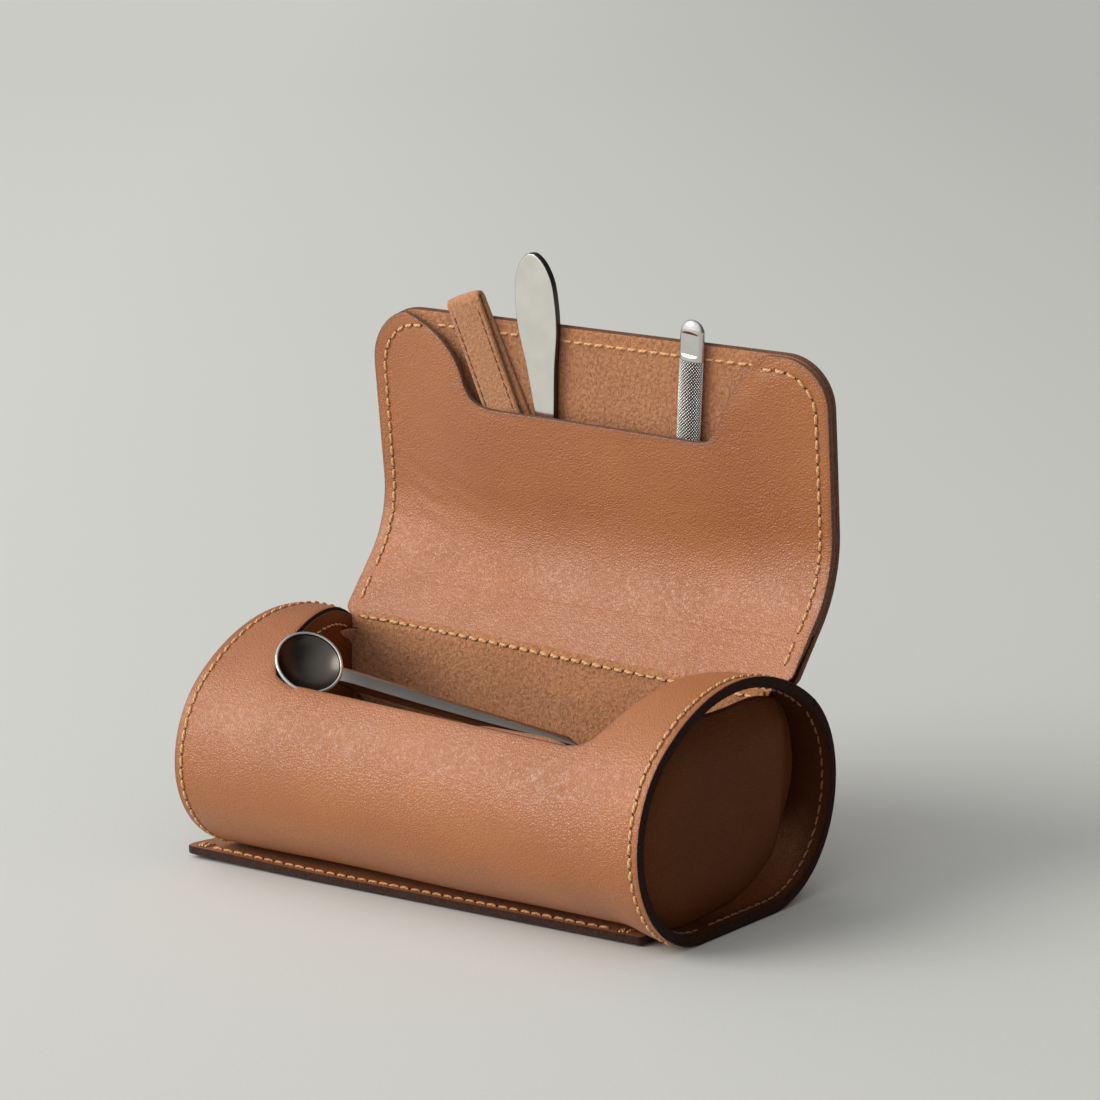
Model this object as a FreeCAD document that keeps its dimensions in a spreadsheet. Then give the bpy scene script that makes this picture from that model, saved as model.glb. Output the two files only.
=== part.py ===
"""Leather barrel case for grooming tools: a barrel with a window, a bending lid with a pocket, and its tools.

X runs along the barrel, Y to the back and Z up. The origin lies on the floor under the middle of the barrel.
"""
import FreeCAD
import Part
import Sketcher
import math
import os

DOC = FreeCAD.newDocument("grooming_case")
SHEET = DOC.addObject("Spreadsheet::Sheet", "Sizes")
DERIVED = DOC.addObject("App::VarSet", "Derived")
PROBE = DOC.addObject("App::VarSet", "Probe")

# Driving dimensions in millimetres and degrees
SIZES = {
    # barrel of thick leather
    "barrel_length": 150,
    "barrel_depth": 89.6,
    "barrel_height": 63.5,
    "widest_height": 29,
    "shell_thickness": 3,
    "seam_flange": 12,
    "base_overlap": 6,
    # window cut through the top, wider at the lid than at the front
    "window_front_left": 50,
    "window_front_right": 49,
    "window_front_reach": 33.6,
    "window_back_half_width": 69,
    "window_corner": 8,
    "seam_allowance": 4,
    # strip of leather at the foot of the front
    "strip_left": 83,
    "strip_right": 63,
    "strip_front_left": 30.5,
    "strip_front_right": 25,
    # suede pouch inside the barrel
    "pouch_thickness": 1.2,
    "pouch_gap": 0.3,
    "pouch_back_gap": 5.5,
    "pouch_front_height": 49,
    "end_inset": 5,
    "end_thickness": 1.6,
    "divider_place": 57,
    "divider_turn": 17.5,
    # lid, three layers that bend in two stretches
    "hinge_inset": 6.4,
    "hinge_clearance": 0.3,
    "lid_side_inset": 1.5,
    "outer_thickness": 1.8,
    "lining_thickness": 0.8,
    "panel_thickness": 1.4,
    "layer_start": 13,
    "lid_straight": 17.4,
    "lid_radius": 32,
    "lid_lean": 39,
    "flap_lean": 7.5,
    "flap_height": 46.6,
    "flap_corner": 17,
    "bend_gap": 0.8,
    # pocket on the flap
    "pocket_gap": 3.6,
    "pocket_floor": 5.9,
    "pocket_half_width": 42,
    "mouth_height": 22.6,
    "mouth_half_width": 40,
    "mouth_flare": 17,
    "mouth_corner": 6,
    "seat_gap": 0.3,
    # spatula
    "spatula_length": 61.5,
    "spatula_blade": 13.4,
    "spatula_neck": 6,
    "spatula_neck_length": 15,
    "spatula_thickness": 2.2,
    "spatula_place": -14.2,
    "spatula_tilt": 0.3,
    # knurled file
    "file_length": 47.4,
    "file_width": 6.9,
    "file_tip_width": 7.3,
    "file_tip_length": 11,
    "file_thickness": 3,
    "file_place": 29.6,
    "file_tilt": -7.4,
    # folded suede strap
    "strap_length": 48.6,
    "strap_width": 11.5,
    "strap_leather": 1.3,
    "strap_slot": 0.4,
    "strap_place": -23.3,
    "strap_tilt": 18.7,
    # scoop that lies across the pouch
    "scoop_bowl_radius": 9.2,
    "scoop_bowl_depth": 4.5,
    "scoop_wall": 0.9,
    "scoop_length": 90,
    "scoop_neck_radius": 1.6,
    "scoop_neck_length": 12,
    "scoop_handle_radius": 2.2,
    "scoop_tail_radius": 1.2,
    "scoop_drop": 1.5,
    "scoop_from_left": 6.4,
    "scoop_behind_edge": 7.5,
    "scoop_above_edge": 5.8,
    "scoop_pitch": 17.5,
    "scoop_roll": 46.8,
    "scoop_clearance": 0.5,
    "edge_round": 0.6,
    # end of the lid's leather, sewn down on the barrel behind the hinge
    "tail_gap": 2.8,
    "tail_end_height": 43,
}

# Values that several pieces share, each worked out from the driving dimensions
SHARED = {
    "half_depth": "Sizes.barrel_depth / 2",
    "half_length": "Sizes.barrel_length / 2",
    "rise": "Sizes.barrel_height - Sizes.widest_height",
    "diagonal": "sqrt(Derived.half_depth^2 + Derived.rise^2)",
    "shoulder_radius": "(Derived.diagonal - Derived.half_depth + Derived.rise) / 2"
    " * Derived.diagonal / Derived.half_depth",
    "crown_radius": "(Derived.diagonal + Derived.half_depth - Derived.rise) / 2"
    " * Derived.diagonal / Derived.rise",
    "crown_z": "Sizes.barrel_height - Derived.crown_radius",
    "front_radius": "Sizes.widest_height - Sizes.shell_thickness",
    "landing_y": "Derived.front_radius - Derived.half_depth",
    "base_front_y": "Derived.landing_y + Sizes.base_overlap",
    "hinge_foot_y": "Derived.half_depth - Derived.shoulder_radius"
    " + Derived.shoulder_radius * Derived.rise / Derived.diagonal - Sizes.hinge_inset",
    "hinge_reach": "1 + (Sizes.outer_thickness / 2 + Sizes.hinge_clearance) / Derived.crown_radius",
    "hinge_y": "Derived.hinge_foot_y * Derived.hinge_reach",
    "hinge_z": "Derived.crown_z + Derived.hinge_reach"
    " * sqrt(Derived.crown_radius^2 - Derived.hinge_foot_y^2)",
    "window_back_y": "Derived.hinge_foot_y - Sizes.seam_allowance",
    "pouch_out": "Sizes.shell_thickness + Sizes.pouch_gap",
    "pouch_wall_y": "Derived.half_depth - Derived.pouch_out - Sizes.pouch_back_gap",
    "pouch_floor_z": "2 * Sizes.shell_thickness + Sizes.pouch_gap",
    "pouch_top_y": "Derived.window_back_y + 2 * Sizes.pouch_thickness",
    "pouch_half_length": "Derived.half_length - Sizes.end_inset - Sizes.end_thickness",
    "lid_half_width": "Derived.half_length - Sizes.lid_side_inset",
    "arc_y": "Derived.hinge_y + Sizes.lid_straight * sin(Sizes.lid_lean)"
    " - Sizes.lid_radius * cos(Sizes.lid_lean)",
    "arc_z": "Derived.hinge_z + Sizes.lid_straight * cos(Sizes.lid_lean)"
    " + Sizes.lid_radius * sin(Sizes.lid_lean)",
    "bend_y": "Derived.arc_y + Sizes.lid_radius * cos(Sizes.flap_lean)",
    "bend_z": "Derived.arc_z + Sizes.lid_radius * sin(Sizes.flap_lean)",
    "lining_front": "Sizes.outer_thickness / 2 + Sizes.lining_thickness",
    "tool_floor": "Sizes.pocket_floor + Sizes.seat_gap",
    "wall_top_y": "Derived.pouch_top_y - Sizes.pouch_thickness",
    "wall_top_z": "Derived.crown_z"
    " + sqrt((Derived.crown_radius - Derived.pouch_out)^2 - Derived.pouch_top_y^2)",
    "wall_slope": "(Derived.pouch_wall_y - Derived.pouch_top_y) / (Derived.wall_top_z - Sizes.widest_height)",
    "window_edge_z": "Sizes.widest_height + sqrt(Derived.shoulder_radius^2"
    " - (Sizes.window_front_reach - Derived.half_depth + Derived.shoulder_radius)^2)",
    "scoop_x": "Sizes.scoop_from_left - Sizes.window_front_left",
    "scoop_y": "Sizes.scoop_behind_edge - Sizes.window_front_reach",
    "scoop_z": "Derived.window_edge_z + Sizes.scoop_above_edge",
    "scoop_tail_z": "Derived.scoop_z - Sizes.scoop_length * sin(Sizes.scoop_pitch)",
    "scoop_tail_y": "Derived.wall_top_y + Derived.wall_slope * (Derived.wall_top_z - Derived.scoop_tail_z)"
    " - Sizes.scoop_tail_radius - Sizes.scoop_clearance",
    "scoop_yaw": "asin((Derived.scoop_tail_y - Derived.scoop_y)"
    " / (Sizes.scoop_length * cos(Sizes.scoop_pitch)))",
}


def fill_sheet():
    """Write the driving dimensions into the sheet and bind the shared values to them."""
    for row, (name, number) in enumerate(SIZES.items(), start=1):
        SHEET.set(f"A{row}", name.replace("_", " "))
        SHEET.set(f"B{row}", str(number))
        SHEET.setAlias(f"B{row}", name)
    DOC.recompute()
    PROBE.addProperty("App::PropertyFloat", "number")
    for name, formula in SHARED.items():
        DERIVED.addProperty("App::PropertyFloat", name)
        DERIVED.setExpression(name, formula)
    DOC.recompute()


def value(formula):
    """The number that a formula gives now."""
    PROBE.setExpression("number", formula)
    PROBE.recompute()
    return PROBE.number


def new_body(label):
    body = DOC.addObject("PartDesign::Body", label)
    body.Label = label
    return body


def new_sketch(body, name, plane, lift="0", shift=("0", "0"), turn="0"):
    """A sketch on one of the body's own planes, lifted along its normal, shifted and turned in it."""
    sketch = body.newObject("Sketcher::SketchObject", f"{body.Label}_{name}")
    support = [f for f in body.Origin.OriginFeatures if f.Role == f"{plane}_Plane"][0]
    sketch.AttachmentSupport = [(support, "")]
    sketch.MapMode = "FlatFace"
    sketch.setExpression("AttachmentOffset.Base.x", shift[0])
    sketch.setExpression("AttachmentOffset.Base.y", shift[1])
    sketch.setExpression("AttachmentOffset.Base.z", lift)
    sketch.setExpression("AttachmentOffset.Rotation.Angle", turn)
    return sketch


def arc_between(start, end, radius, left):
    """The arc under a half turn from start to end, bulging to the right of the way when left is true."""
    middle = (start + end) / 2
    way = end - start
    reach = math.sqrt(max(radius**2 - (way.Length / 2) ** 2, 0))
    side = FreeCAD.Vector(-way.y, way.x, 0).normalize() * (reach if left else -reach)
    centre = middle + side
    angles = [math.atan2(p.y - centre.y, p.x - centre.x) for p in (start, end)]
    if not left:
        angles.reverse()
    circle = Part.Circle(centre, FreeCAD.Vector(0, 0, 1), radius)
    return Part.ArcOfCircle(circle, *angles)


def draw(sketch, outline):
    """Draw a closed outline whose corners and radii are bound to formulas.

    Each entry is (across, up) for a straight side to the next corner, or (across, up, radius, turn)
    for an arc that turns left or right on its way to the next corner.
    """
    corners = [FreeCAD.Vector(value(e[0]), value(e[1]), 0) for e in outline]
    ends = []
    for index, entry in enumerate(outline):
        start, end = corners[index], corners[(index + 1) % len(outline)]
        if len(entry) == 2:
            geo = sketch.addGeometry(Part.LineSegment(start, end))
            ends.append((geo, 1, 2))
        else:
            left = entry[3] == "left"
            geo = sketch.addGeometry(arc_between(start, end, value(entry[2]), left))
            ends.append((geo, 1, 2) if left else (geo, 2, 1))
    for index, (geo, first, last) in enumerate(ends):
        following = ends[(index + 1) % len(ends)]
        sketch.addConstraint(Sketcher.Constraint("Coincident", geo, last, following[0], following[1]))
    for index, (entry, (geo, first, last)) in enumerate(zip(outline, ends)):
        corner = corners[index]
        bind(sketch, Sketcher.Constraint("DistanceX", -1, 1, geo, first, corner.x), f"x{index}", entry[0])
        bind(sketch, Sketcher.Constraint("DistanceY", -1, 1, geo, first, corner.y), f"y{index}", entry[1])
        if len(entry) == 4:
            bind(sketch, Sketcher.Constraint("Radius", geo, value(entry[2])), f"r{index}", entry[2])
    return sketch


def bind(sketch, constraint, name, formula):
    number = sketch.addConstraint(constraint)
    sketch.renameConstraint(number, name)
    sketch.setExpression(f"Constraints.{name}", formula)


def pad(body, sketch, length, symmetric=False):
    feature = body.newObject("PartDesign::Pad", f"{sketch.Name}_pad")
    feature.Profile = sketch
    feature.SideType = "Symmetric" if symmetric else "One side"
    feature.setExpression("Length", length)
    DOC.recompute()
    return feature


def pocket(body, sketch, length, reverse=False):
    """Cut the sketch out for a length, below its plane or, reversed, above it."""
    before = body.Shape.Volume
    feature = body.newObject("PartDesign::Pocket", f"{sketch.Name}_cut")
    feature.Profile = sketch
    feature.Reversed = reverse
    feature.setExpression("Length", length)
    DOC.recompute()
    if body.Shape.Volume >= before:
        raise RuntimeError(f"{feature.Name} cuts nothing")
    return feature


def revolve(body, sketch, axis):
    feature = body.newObject("PartDesign::Revolution", f"{sketch.Name}_turned")
    feature.Profile = sketch
    feature.ReferenceAxis = (sketch, [axis])
    feature.Angle = 360
    DOC.recompute()
    return feature


def round_all(body, radius):
    base = body.Tip
    feature = body.newObject("PartDesign::Fillet", f"{body.Label}_rounding")
    feature.Base = (base, [""])
    feature.UseAllEdges = True
    feature.setExpression("Radius", radius)
    DOC.recompute()
    return feature


def rectangle(low_x, low_z, high_x, high_z):
    return [(low_x, low_z), (high_x, low_z), (high_x, high_z), (low_x, high_z)]


def on_flap(body):
    """Place a body in the flap's own frame, with its origin on the bend and Z up the leaning flap."""
    body.setExpression("Placement.Base.y", "Derived.bend_y")
    body.setExpression("Placement.Base.z", "Derived.bend_z")
    body.setExpression("Placement.Rotation.Roll", "Sizes.flap_lean")


# Points of the barrel's oval section, at a depth under its outer surface
def join_y(depth):
    return (
        f"(Derived.half_depth - Derived.shoulder_radius"
        f" + (Derived.shoulder_radius - ({depth})) * Derived.rise / Derived.diagonal)"
    )


def join_z(depth):
    return (
        f"(Sizes.widest_height"
        f" + (Derived.shoulder_radius - ({depth})) * Derived.half_depth / Derived.diagonal)"
    )


def side_y(depth):
    return f"(Derived.half_depth - ({depth}))"


def crown_height(across, depth):
    return f"(Derived.crown_z + sqrt((Derived.crown_radius - ({depth}))^2 - ({across})^2))"


def shoulder_reach(height, depth):
    return (
        f"(Derived.half_depth - Derived.shoulder_radius"
        f" + sqrt((Derived.shoulder_radius - ({depth}))^2 - ({height} - Sizes.widest_height)^2))"
    )


def cut_window(body):
    """Cut the window down through the crown: round corners in front, sides that flare to the back."""
    front, back = "-Sizes.window_front_reach", "Derived.window_back_y"
    corner, wide = "Sizes.window_corner", "Sizes.window_back_half_width"
    left, right = "Sizes.window_front_left", "Sizes.window_front_right"
    top = "Sizes.barrel_height + Sizes.shell_thickness"
    outline = [(wide, back), (f"-{wide}", back)]
    for side, sign in ((left, "-"), (right, "")):
        slope = f"atan(({back} + Sizes.window_front_reach) / ({wide} - {side}))"
        run = f"({corner} * tan({slope} / 2))"
        up = (f"{sign}({side} + {run} * cos({slope}))", f"{front} + {run} * sin({slope})")
        along = (f"{sign}({side} - {run})", front)
        if sign:
            outline += [up + (corner, "left"), along]
        else:
            outline += [along + (corner, "left"), up]
    window = draw(new_sketch(body, "window", "XY", lift=top), outline)
    pocket(body, window, f"{top} - Sizes.widest_height")


def make_front_shell():
    """Front and top of the barrel, from the flange on the base over the front to the back seam."""
    wall = "Sizes.shell_thickness"
    flange_end = "Derived.landing_y + Sizes.seam_flange"
    body = new_body("front_shell")
    section = new_sketch(body, "section", "YZ")
    draw(
        section,
        [
            (flange_end, wall),
            ("Derived.landing_y", wall, "Derived.front_radius", "right"),
            (f"-{side_y('0')}", "Sizes.widest_height", "Derived.shoulder_radius", "right"),
            (f"-{join_y('0')}", join_z("0"), "Derived.crown_radius", "right"),
            (join_y("0"), join_z("0")),
            (join_y(wall), join_z(wall), f"Derived.crown_radius - {wall}", "left"),
            (f"-{join_y(wall)}", join_z(wall), f"Derived.shoulder_radius - {wall}", "left"),
            (f"-{side_y(wall)}", "Sizes.widest_height", f"Derived.front_radius - {wall}", "left"),
            ("Derived.landing_y", f"2 * {wall}"),
            (flange_end, f"2 * {wall}"),
        ],
    )
    pad(body, section, "Sizes.barrel_length", symmetric=True)
    cut_window(body)
    return body


def make_back_panel():
    """Base and back of the barrel in one piece, from under the front flange up to the back seam."""
    wall = "Sizes.shell_thickness"
    turn_y = "Derived.half_depth - Sizes.widest_height"
    body = new_body("back_panel")
    section = new_sketch(body, "section", "YZ")
    draw(
        section,
        [
            ("Derived.base_front_y", "0"),
            (turn_y, "0", "Sizes.widest_height", "left"),
            (side_y("0"), "Sizes.widest_height", "Derived.shoulder_radius", "left"),
            (join_y("0"), join_z("0")),
            (join_y(wall), join_z(wall), f"Derived.shoulder_radius - {wall}", "right"),
            (side_y(wall), "Sizes.widest_height", f"Sizes.widest_height - {wall}", "right"),
            (turn_y, wall),
            ("Derived.base_front_y", wall),
        ],
    )
    pad(body, section, "Sizes.barrel_length", symmetric=True)
    return body


def make_foot_strip():
    """Flat strip that shows in front of the barrel's foot, under the front shell's flange."""
    body = new_body("foot_strip")
    outline = new_sketch(body, "outline", "XY")
    draw(
        outline,
        [
            ("-Sizes.strip_left", "-Sizes.strip_front_left"),
            ("Sizes.strip_right", "-Sizes.strip_front_right"),
            ("Sizes.strip_right", "Derived.base_front_y"),
            ("-Sizes.strip_left", "Derived.base_front_y"),
        ],
    )
    pad(body, outline, "Sizes.shell_thickness")
    return body


def pouch_side(depth, front_height):
    """The pouch's line from its front edge along the barrel's wall and up its back, at a depth."""
    inset = f"({depth} - Derived.pouch_out)"
    turn = f"(Sizes.widest_height - Derived.pouch_floor_z)"
    top_y = f"Derived.pouch_top_y - {inset}"
    return [
        (
            f"-{shoulder_reach(front_height, depth)}",
            front_height,
            f"Derived.shoulder_radius - {depth}",
            "left",
        ),
        (f"-{side_y(depth)}", "Sizes.widest_height", f"Derived.front_radius - {depth}", "left"),
        ("Derived.landing_y", f"Derived.pouch_floor_z + {inset}"),
        (
            f"Derived.pouch_wall_y - {turn}",
            f"Derived.pouch_floor_z + {inset}",
            f"{turn} - {inset}",
            "left",
        ),
        (f"Derived.pouch_wall_y - {inset}", "Sizes.widest_height"),
        (top_y, "Derived.wall_top_z"),
    ]


def backwards(line):
    """The same line from its last corner to its first, with each arc on the side it now starts."""
    turned = []
    for index in range(len(line) - 1, -1, -1):
        arc = line[index - 1][2:3] if index > 0 else ()
        turned.append(line[index][:2] + (arc + ("right",) if arc else ()))
    return turned


def make_pouch_sheet():
    """Suede sheet of the pouch: front, floor and back in one bent piece."""
    body = new_body("pouch_sheet")
    section = new_sketch(body, "section", "YZ")
    height = "Sizes.pouch_front_height"
    outside = pouch_side("Derived.pouch_out", height)
    inside = pouch_side("(Derived.pouch_out + Sizes.pouch_thickness)", height)
    draw(section, outside + backwards(inside))
    pad(body, section, "2 * Derived.pouch_half_length", symmetric=True)
    return body


def make_pouch_wall(label, place, depth, turn="0"):
    """Upright wall across the pouch, with the pouch's own outline at a depth, turned about the vertical."""
    body = new_body(label)
    outline = new_sketch(body, "outline", "YZ")
    draw(outline, pouch_side(depth, "Sizes.pouch_front_height"))
    pad(body, outline, "Sizes.end_thickness")
    body.setExpression("Placement.Base.x", place)
    body.setExpression("Placement.Rotation.Yaw", turn)
    return body


def lid_point(along, out):
    """Point of the lid's straight foot, a way along it from the hinge and out towards the back."""
    return (
        f"Derived.hinge_y + ({along}) * sin(Sizes.lid_lean) + ({out}) * cos(Sizes.lid_lean)",
        f"Derived.hinge_z + ({along}) * cos(Sizes.lid_lean) - ({out}) * sin(Sizes.lid_lean)",
    )


def bend_point(out):
    """Point on the line where the lid's curved foot ends, out towards the back."""
    return (
        f"Derived.arc_y + (Sizes.lid_radius + ({out})) * cos(Sizes.flap_lean)",
        f"Derived.arc_z + (Sizes.lid_radius + ({out})) * sin(Sizes.flap_lean)",
    )


def make_lid_foot(label, back, front, bead=False):
    """Lower stretch of one lid layer, straight and then curved, between two distances from its middle."""
    straight = "Sizes.lid_straight"
    start = "0" if bead else "Sizes.layer_start"
    half = "Sizes.outer_thickness / 2"
    back_arc, front_arc = f"Sizes.lid_radius + ({back})", f"Sizes.lid_radius + ({front})"
    outline = [
        lid_point(start, back),
        lid_point(straight, back) + (back_arc, "left"),
        bend_point(back),
        bend_point(front) + (front_arc, "right"),
        lid_point(straight, front),
    ]
    if bead:
        outline += [
            lid_point(start, front) + (half, "left"),
            lid_point(f"-({half})", "0") + (half, "left"),
        ]
    else:
        outline.append(lid_point(start, front))
    body = new_body(label)
    section = draw(new_sketch(body, "section", "YZ"), outline)
    pad(body, section, "2 * Derived.lid_half_width", symmetric=True)
    return body


def make_lid_tail():
    """End of the lid's outer leather behind the hinge, lying on the barrel's back where it is sewn down."""
    out = "-Sizes.outer_thickness"
    front, end = "(Derived.hinge_foot_y + Sizes.tail_gap)", "Sizes.tail_end_height"
    body = new_body("lid_tail")
    section = new_sketch(body, "section", "YZ")
    draw(
        section,
        [
            (front, crown_height(front, "0"), "Derived.crown_radius", "right"),
            (join_y("0"), join_z("0"), "Derived.shoulder_radius", "right"),
            (shoulder_reach(end, "0"), end),
            (shoulder_reach(end, out), end, "Derived.shoulder_radius + Sizes.outer_thickness", "left"),
            (join_y(out), join_z(out), "Derived.crown_radius + Sizes.outer_thickness", "left"),
            (front, crown_height(front, out)),
        ],
    )
    pad(body, section, "2 * Derived.lid_half_width", symmetric=True)
    return body


def flap_outline():
    """Flap seen from the front: straight sides and round top corners."""
    side, top, corner = "Derived.lid_half_width", "Sizes.flap_height", "Sizes.flap_corner"
    return [
        (f"-{side}", "Sizes.bend_gap"),
        (side, "Sizes.bend_gap"),
        (side, f"{top} - {corner}", corner, "left"),
        (f"{side} - {corner}", top),
        (f"{corner} - {side}", top, corner, "left"),
        (f"-{side}", f"{top} - {corner}"),
    ]


def make_flap(label, lift, thickness):
    body = new_body(label)
    outline = draw(new_sketch(body, "outline", "XZ", lift=lift), flap_outline())
    pad(body, outline, thickness)
    on_flap(body)
    return body


def make_pocket_flap():
    """Front panel of the flap, raised in the middle over the tools and cut away at the pocket's mouth."""
    lift = "Derived.lining_front"
    wall = "Sizes.panel_thickness"
    half, floor = "Sizes.pocket_half_width", "Sizes.pocket_floor"
    rim = "Sizes.mouth_height"
    body = make_flap("lid_pocket_upper", lift, wall)
    raised = new_sketch(body, "raised", "XZ", lift=lift)
    draw(raised, rectangle(f"-{half}", f"{floor} - {wall}", half, rim))
    pad(body, raised, f"Sizes.pocket_gap + {wall}")
    room = new_sketch(body, "room", "XZ", lift=lift)
    draw(room, rectangle(f"{wall} - {half}", floor, f"{half} - {wall}", f"{rim} + {wall}"))
    pocket(body, room, "Sizes.pocket_gap", reverse=True)
    top = f"Sizes.flap_height + {wall}"
    width, corner = "Sizes.mouth_half_width", "Sizes.mouth_corner"
    slope = f"atan(({top} - {rim}) / Sizes.mouth_flare)"
    run = f"{corner} * tan({slope} / 2)"
    lean_x, lean_z = f"{run} * cos({slope})", f"{run} * sin({slope})"
    mouth = new_sketch(body, "mouth", "XZ", lift=lift)
    draw(
        mouth,
        [
            (f"{run} - {width}", rim),
            (f"{width} - {run}", rim, corner, "left"),
            (f"{width} + {lean_x}", f"{rim} + {lean_z}"),
            (f"{width} + Sizes.mouth_flare", top),
            (f"-{width} - Sizes.mouth_flare", top),
            (f"-{width} - {lean_x}", f"{rim} + {lean_z}", corner, "left"),
        ],
    )
    pocket(body, mouth, f"Sizes.pocket_gap + 2 * {wall}", reverse=True)
    return body


def tool_sketch(body, name, place, foot, tilt, thickness, lift="0"):
    """Sketch of a tool centred in the pocket's room, tilted in the flap's plane with its foot's corner seated."""
    middle = f"Derived.lining_front + (Sizes.pocket_gap - {thickness}) / 2 + {lift}"
    rise = f"Derived.tool_floor + {foot} * abs(sin({tilt}))"
    return new_sketch(body, name, "XZ", lift=middle, shift=(place, rise), turn=tilt)


def make_spatula():
    """Flat spatula: a narrow neck that widens to a round-ended blade."""
    body = new_body("spatula")
    thickness = "Sizes.spatula_thickness"
    neck, blade = "Sizes.spatula_neck / 2", "Sizes.spatula_blade / 2"
    shoulder = f"Sizes.spatula_length - {blade}"
    outline = tool_sketch(body, "outline", "Sizes.spatula_place", neck, "Sizes.spatula_tilt", thickness)
    draw(
        outline,
        [
            (f"-{neck}", "0"),
            (neck, "0"),
            (neck, "Sizes.spatula_neck_length"),
            (blade, shoulder, blade, "left"),
            ("0", "Sizes.spatula_length", blade, "left"),
            (f"-{blade}", shoulder),
            (f"-{neck}", "Sizes.spatula_neck_length"),
        ],
    )
    pad(body, outline, thickness)
    round_all(body, "Sizes.edge_round")
    on_flap(body)
    return body


def make_file():
    """Flat bar with a knurled grip and a slightly wider round tip."""
    body = new_body("knurled_file")
    thickness = "Sizes.file_thickness"
    grip, tip = "Sizes.file_width / 2", "Sizes.file_tip_width / 2"
    step, shoulder = "Sizes.file_length - Sizes.file_tip_length", f"Sizes.file_length - {tip}"
    outline = tool_sketch(body, "outline", "Sizes.file_place", grip, "Sizes.file_tilt", thickness)
    draw(
        outline,
        [
            (f"-{grip}", "0"),
            (grip, "0"),
            (grip, step),
            (tip, step),
            (tip, shoulder, tip, "left"),
            ("0", "Sizes.file_length", tip, "left"),
            (f"-{tip}", shoulder),
            (f"-{tip}", step),
            (f"-{grip}", step),
        ],
    )
    pad(body, outline, thickness)
    on_flap(body)
    return body


def make_strap():
    """Suede strap folded over at its top, so that two layers lie side by side."""
    body = new_body("suede_strap")
    leather, slot = "Sizes.strap_leather", "Sizes.strap_slot"
    thickness = f"(2 * {leather} + {slot})"
    half = "Sizes.strap_width / 2"
    place, tilt = "Sizes.strap_place", "Sizes.strap_tilt"
    outline = tool_sketch(body, "outline", place, half, tilt, thickness)
    draw(outline, rectangle(f"-{half}", "0", half, "Sizes.strap_length"))
    pad(body, outline, thickness)
    fold = tool_sketch(body, "fold", place, half, tilt, thickness, lift=leather)
    fold_top = f"Sizes.strap_length - {leather}"
    draw(fold, rectangle(f"-{half} - {slot}", f"-{slot}", f"{half} + {slot}", fold_top))
    pocket(body, fold, slot, reverse=True)
    on_flap(body)
    return body


def make_scoop():
    """Scoop with a round bowl and a tapering round handle, bowl facing its own Z and tail along its own X."""
    body = new_body("scoop")
    radius, depth, wall = "Sizes.scoop_bowl_radius", "Sizes.scoop_bowl_depth", "Sizes.scoop_wall"
    outside = f"({radius}^2 + {depth}^2) / (2 * {depth})"
    inner_radius, inner_depth = f"({radius} - {wall})", f"({depth} - {wall})"
    inside = f"({inner_radius}^2 + {inner_depth}^2) / (2 * {inner_depth})"
    bowl = new_sketch(body, "bowl", "XZ")
    draw(
        bowl,
        [
            ("0", f"-{depth}", outside, "left"),
            (radius, "0"),
            (inner_radius, "0", inside, "right"),
            ("0", f"-{inner_depth}"),
        ],
    )
    revolve(body, bowl, "V_Axis")
    handle = new_sketch(body, "handle", "XZ", shift=("0", "-Sizes.scoop_drop"))
    draw(
        handle,
        [
            (f"{radius} - {wall}", "0"),
            ("Sizes.scoop_length", "0"),
            ("Sizes.scoop_length", "Sizes.scoop_tail_radius"),
            (f"{radius} + Sizes.scoop_neck_length", "Sizes.scoop_handle_radius"),
            (f"{radius} - {wall}", "Sizes.scoop_neck_radius"),
        ],
    )
    revolve(body, handle, "H_Axis")
    body.setExpression("Placement.Base.x", "Derived.scoop_x")
    body.setExpression("Placement.Base.y", "Derived.scoop_y")
    body.setExpression("Placement.Base.z", "Derived.scoop_z")
    body.setExpression("Placement.Rotation.Yaw", "Derived.scoop_yaw")
    body.setExpression("Placement.Rotation.Pitch", "Sizes.scoop_pitch")
    body.setExpression("Placement.Rotation.Roll", "Sizes.scoop_roll")
    return body


def make_all():
    outer = "Sizes.outer_thickness / 2"
    lining = "Derived.lining_front"
    panel = f"({lining} + Sizes.panel_thickness)"
    end = "Derived.pouch_half_length"
    inner = "(Derived.pouch_out + Sizes.pouch_thickness + Sizes.pouch_gap)"
    return [
        make_front_shell(),
        make_back_panel(),
        make_foot_strip(),
        make_pouch_sheet(),
        make_pouch_wall("end_panel_right", end, "Derived.pouch_out"),
        make_pouch_wall("end_panel_left", f"-{end} - Sizes.end_thickness", "Derived.pouch_out"),
        make_pouch_wall("pouch_divider", "-Sizes.divider_place", inner, "Sizes.divider_turn"),
        make_lid_tail(),
        make_lid_foot("lid_outer_lower", outer, f"-{outer}", bead=True),
        make_lid_foot("lid_lining_lower", f"-{outer}", f"-{lining}"),
        make_lid_foot("lid_pocket_lower", f"-{lining}", f"-{panel}"),
        make_flap("lid_outer_upper", f"-{outer}", "Sizes.outer_thickness"),
        make_flap("lid_lining_upper", outer, "Sizes.lining_thickness"),
        make_pocket_flap(),
        make_spatula(),
        make_file(),
        make_strap(),
        make_scoop(),
    ]


def export(bodies):
    os.makedirs("parts", exist_ok=True)
    for item in DOC.Objects:
        if "Invalid" in item.State or "Error" in item.State:
            raise RuntimeError(f"{item.Label} did not build")
    for body in bodies:
        if body.Shape.isNull() or not body.Shape.isValid() or len(body.Shape.Solids) != 1:
            raise RuntimeError(f"{body.Label} has no sound solid")
        body.Shape.exportStep(f"parts/{body.Label}.step")
        box = body.Shape.BoundBox
        print(f"{body.Label}: {box.XLength:.1f} x {box.YLength:.1f} x {box.ZLength:.1f} mm")


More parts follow.
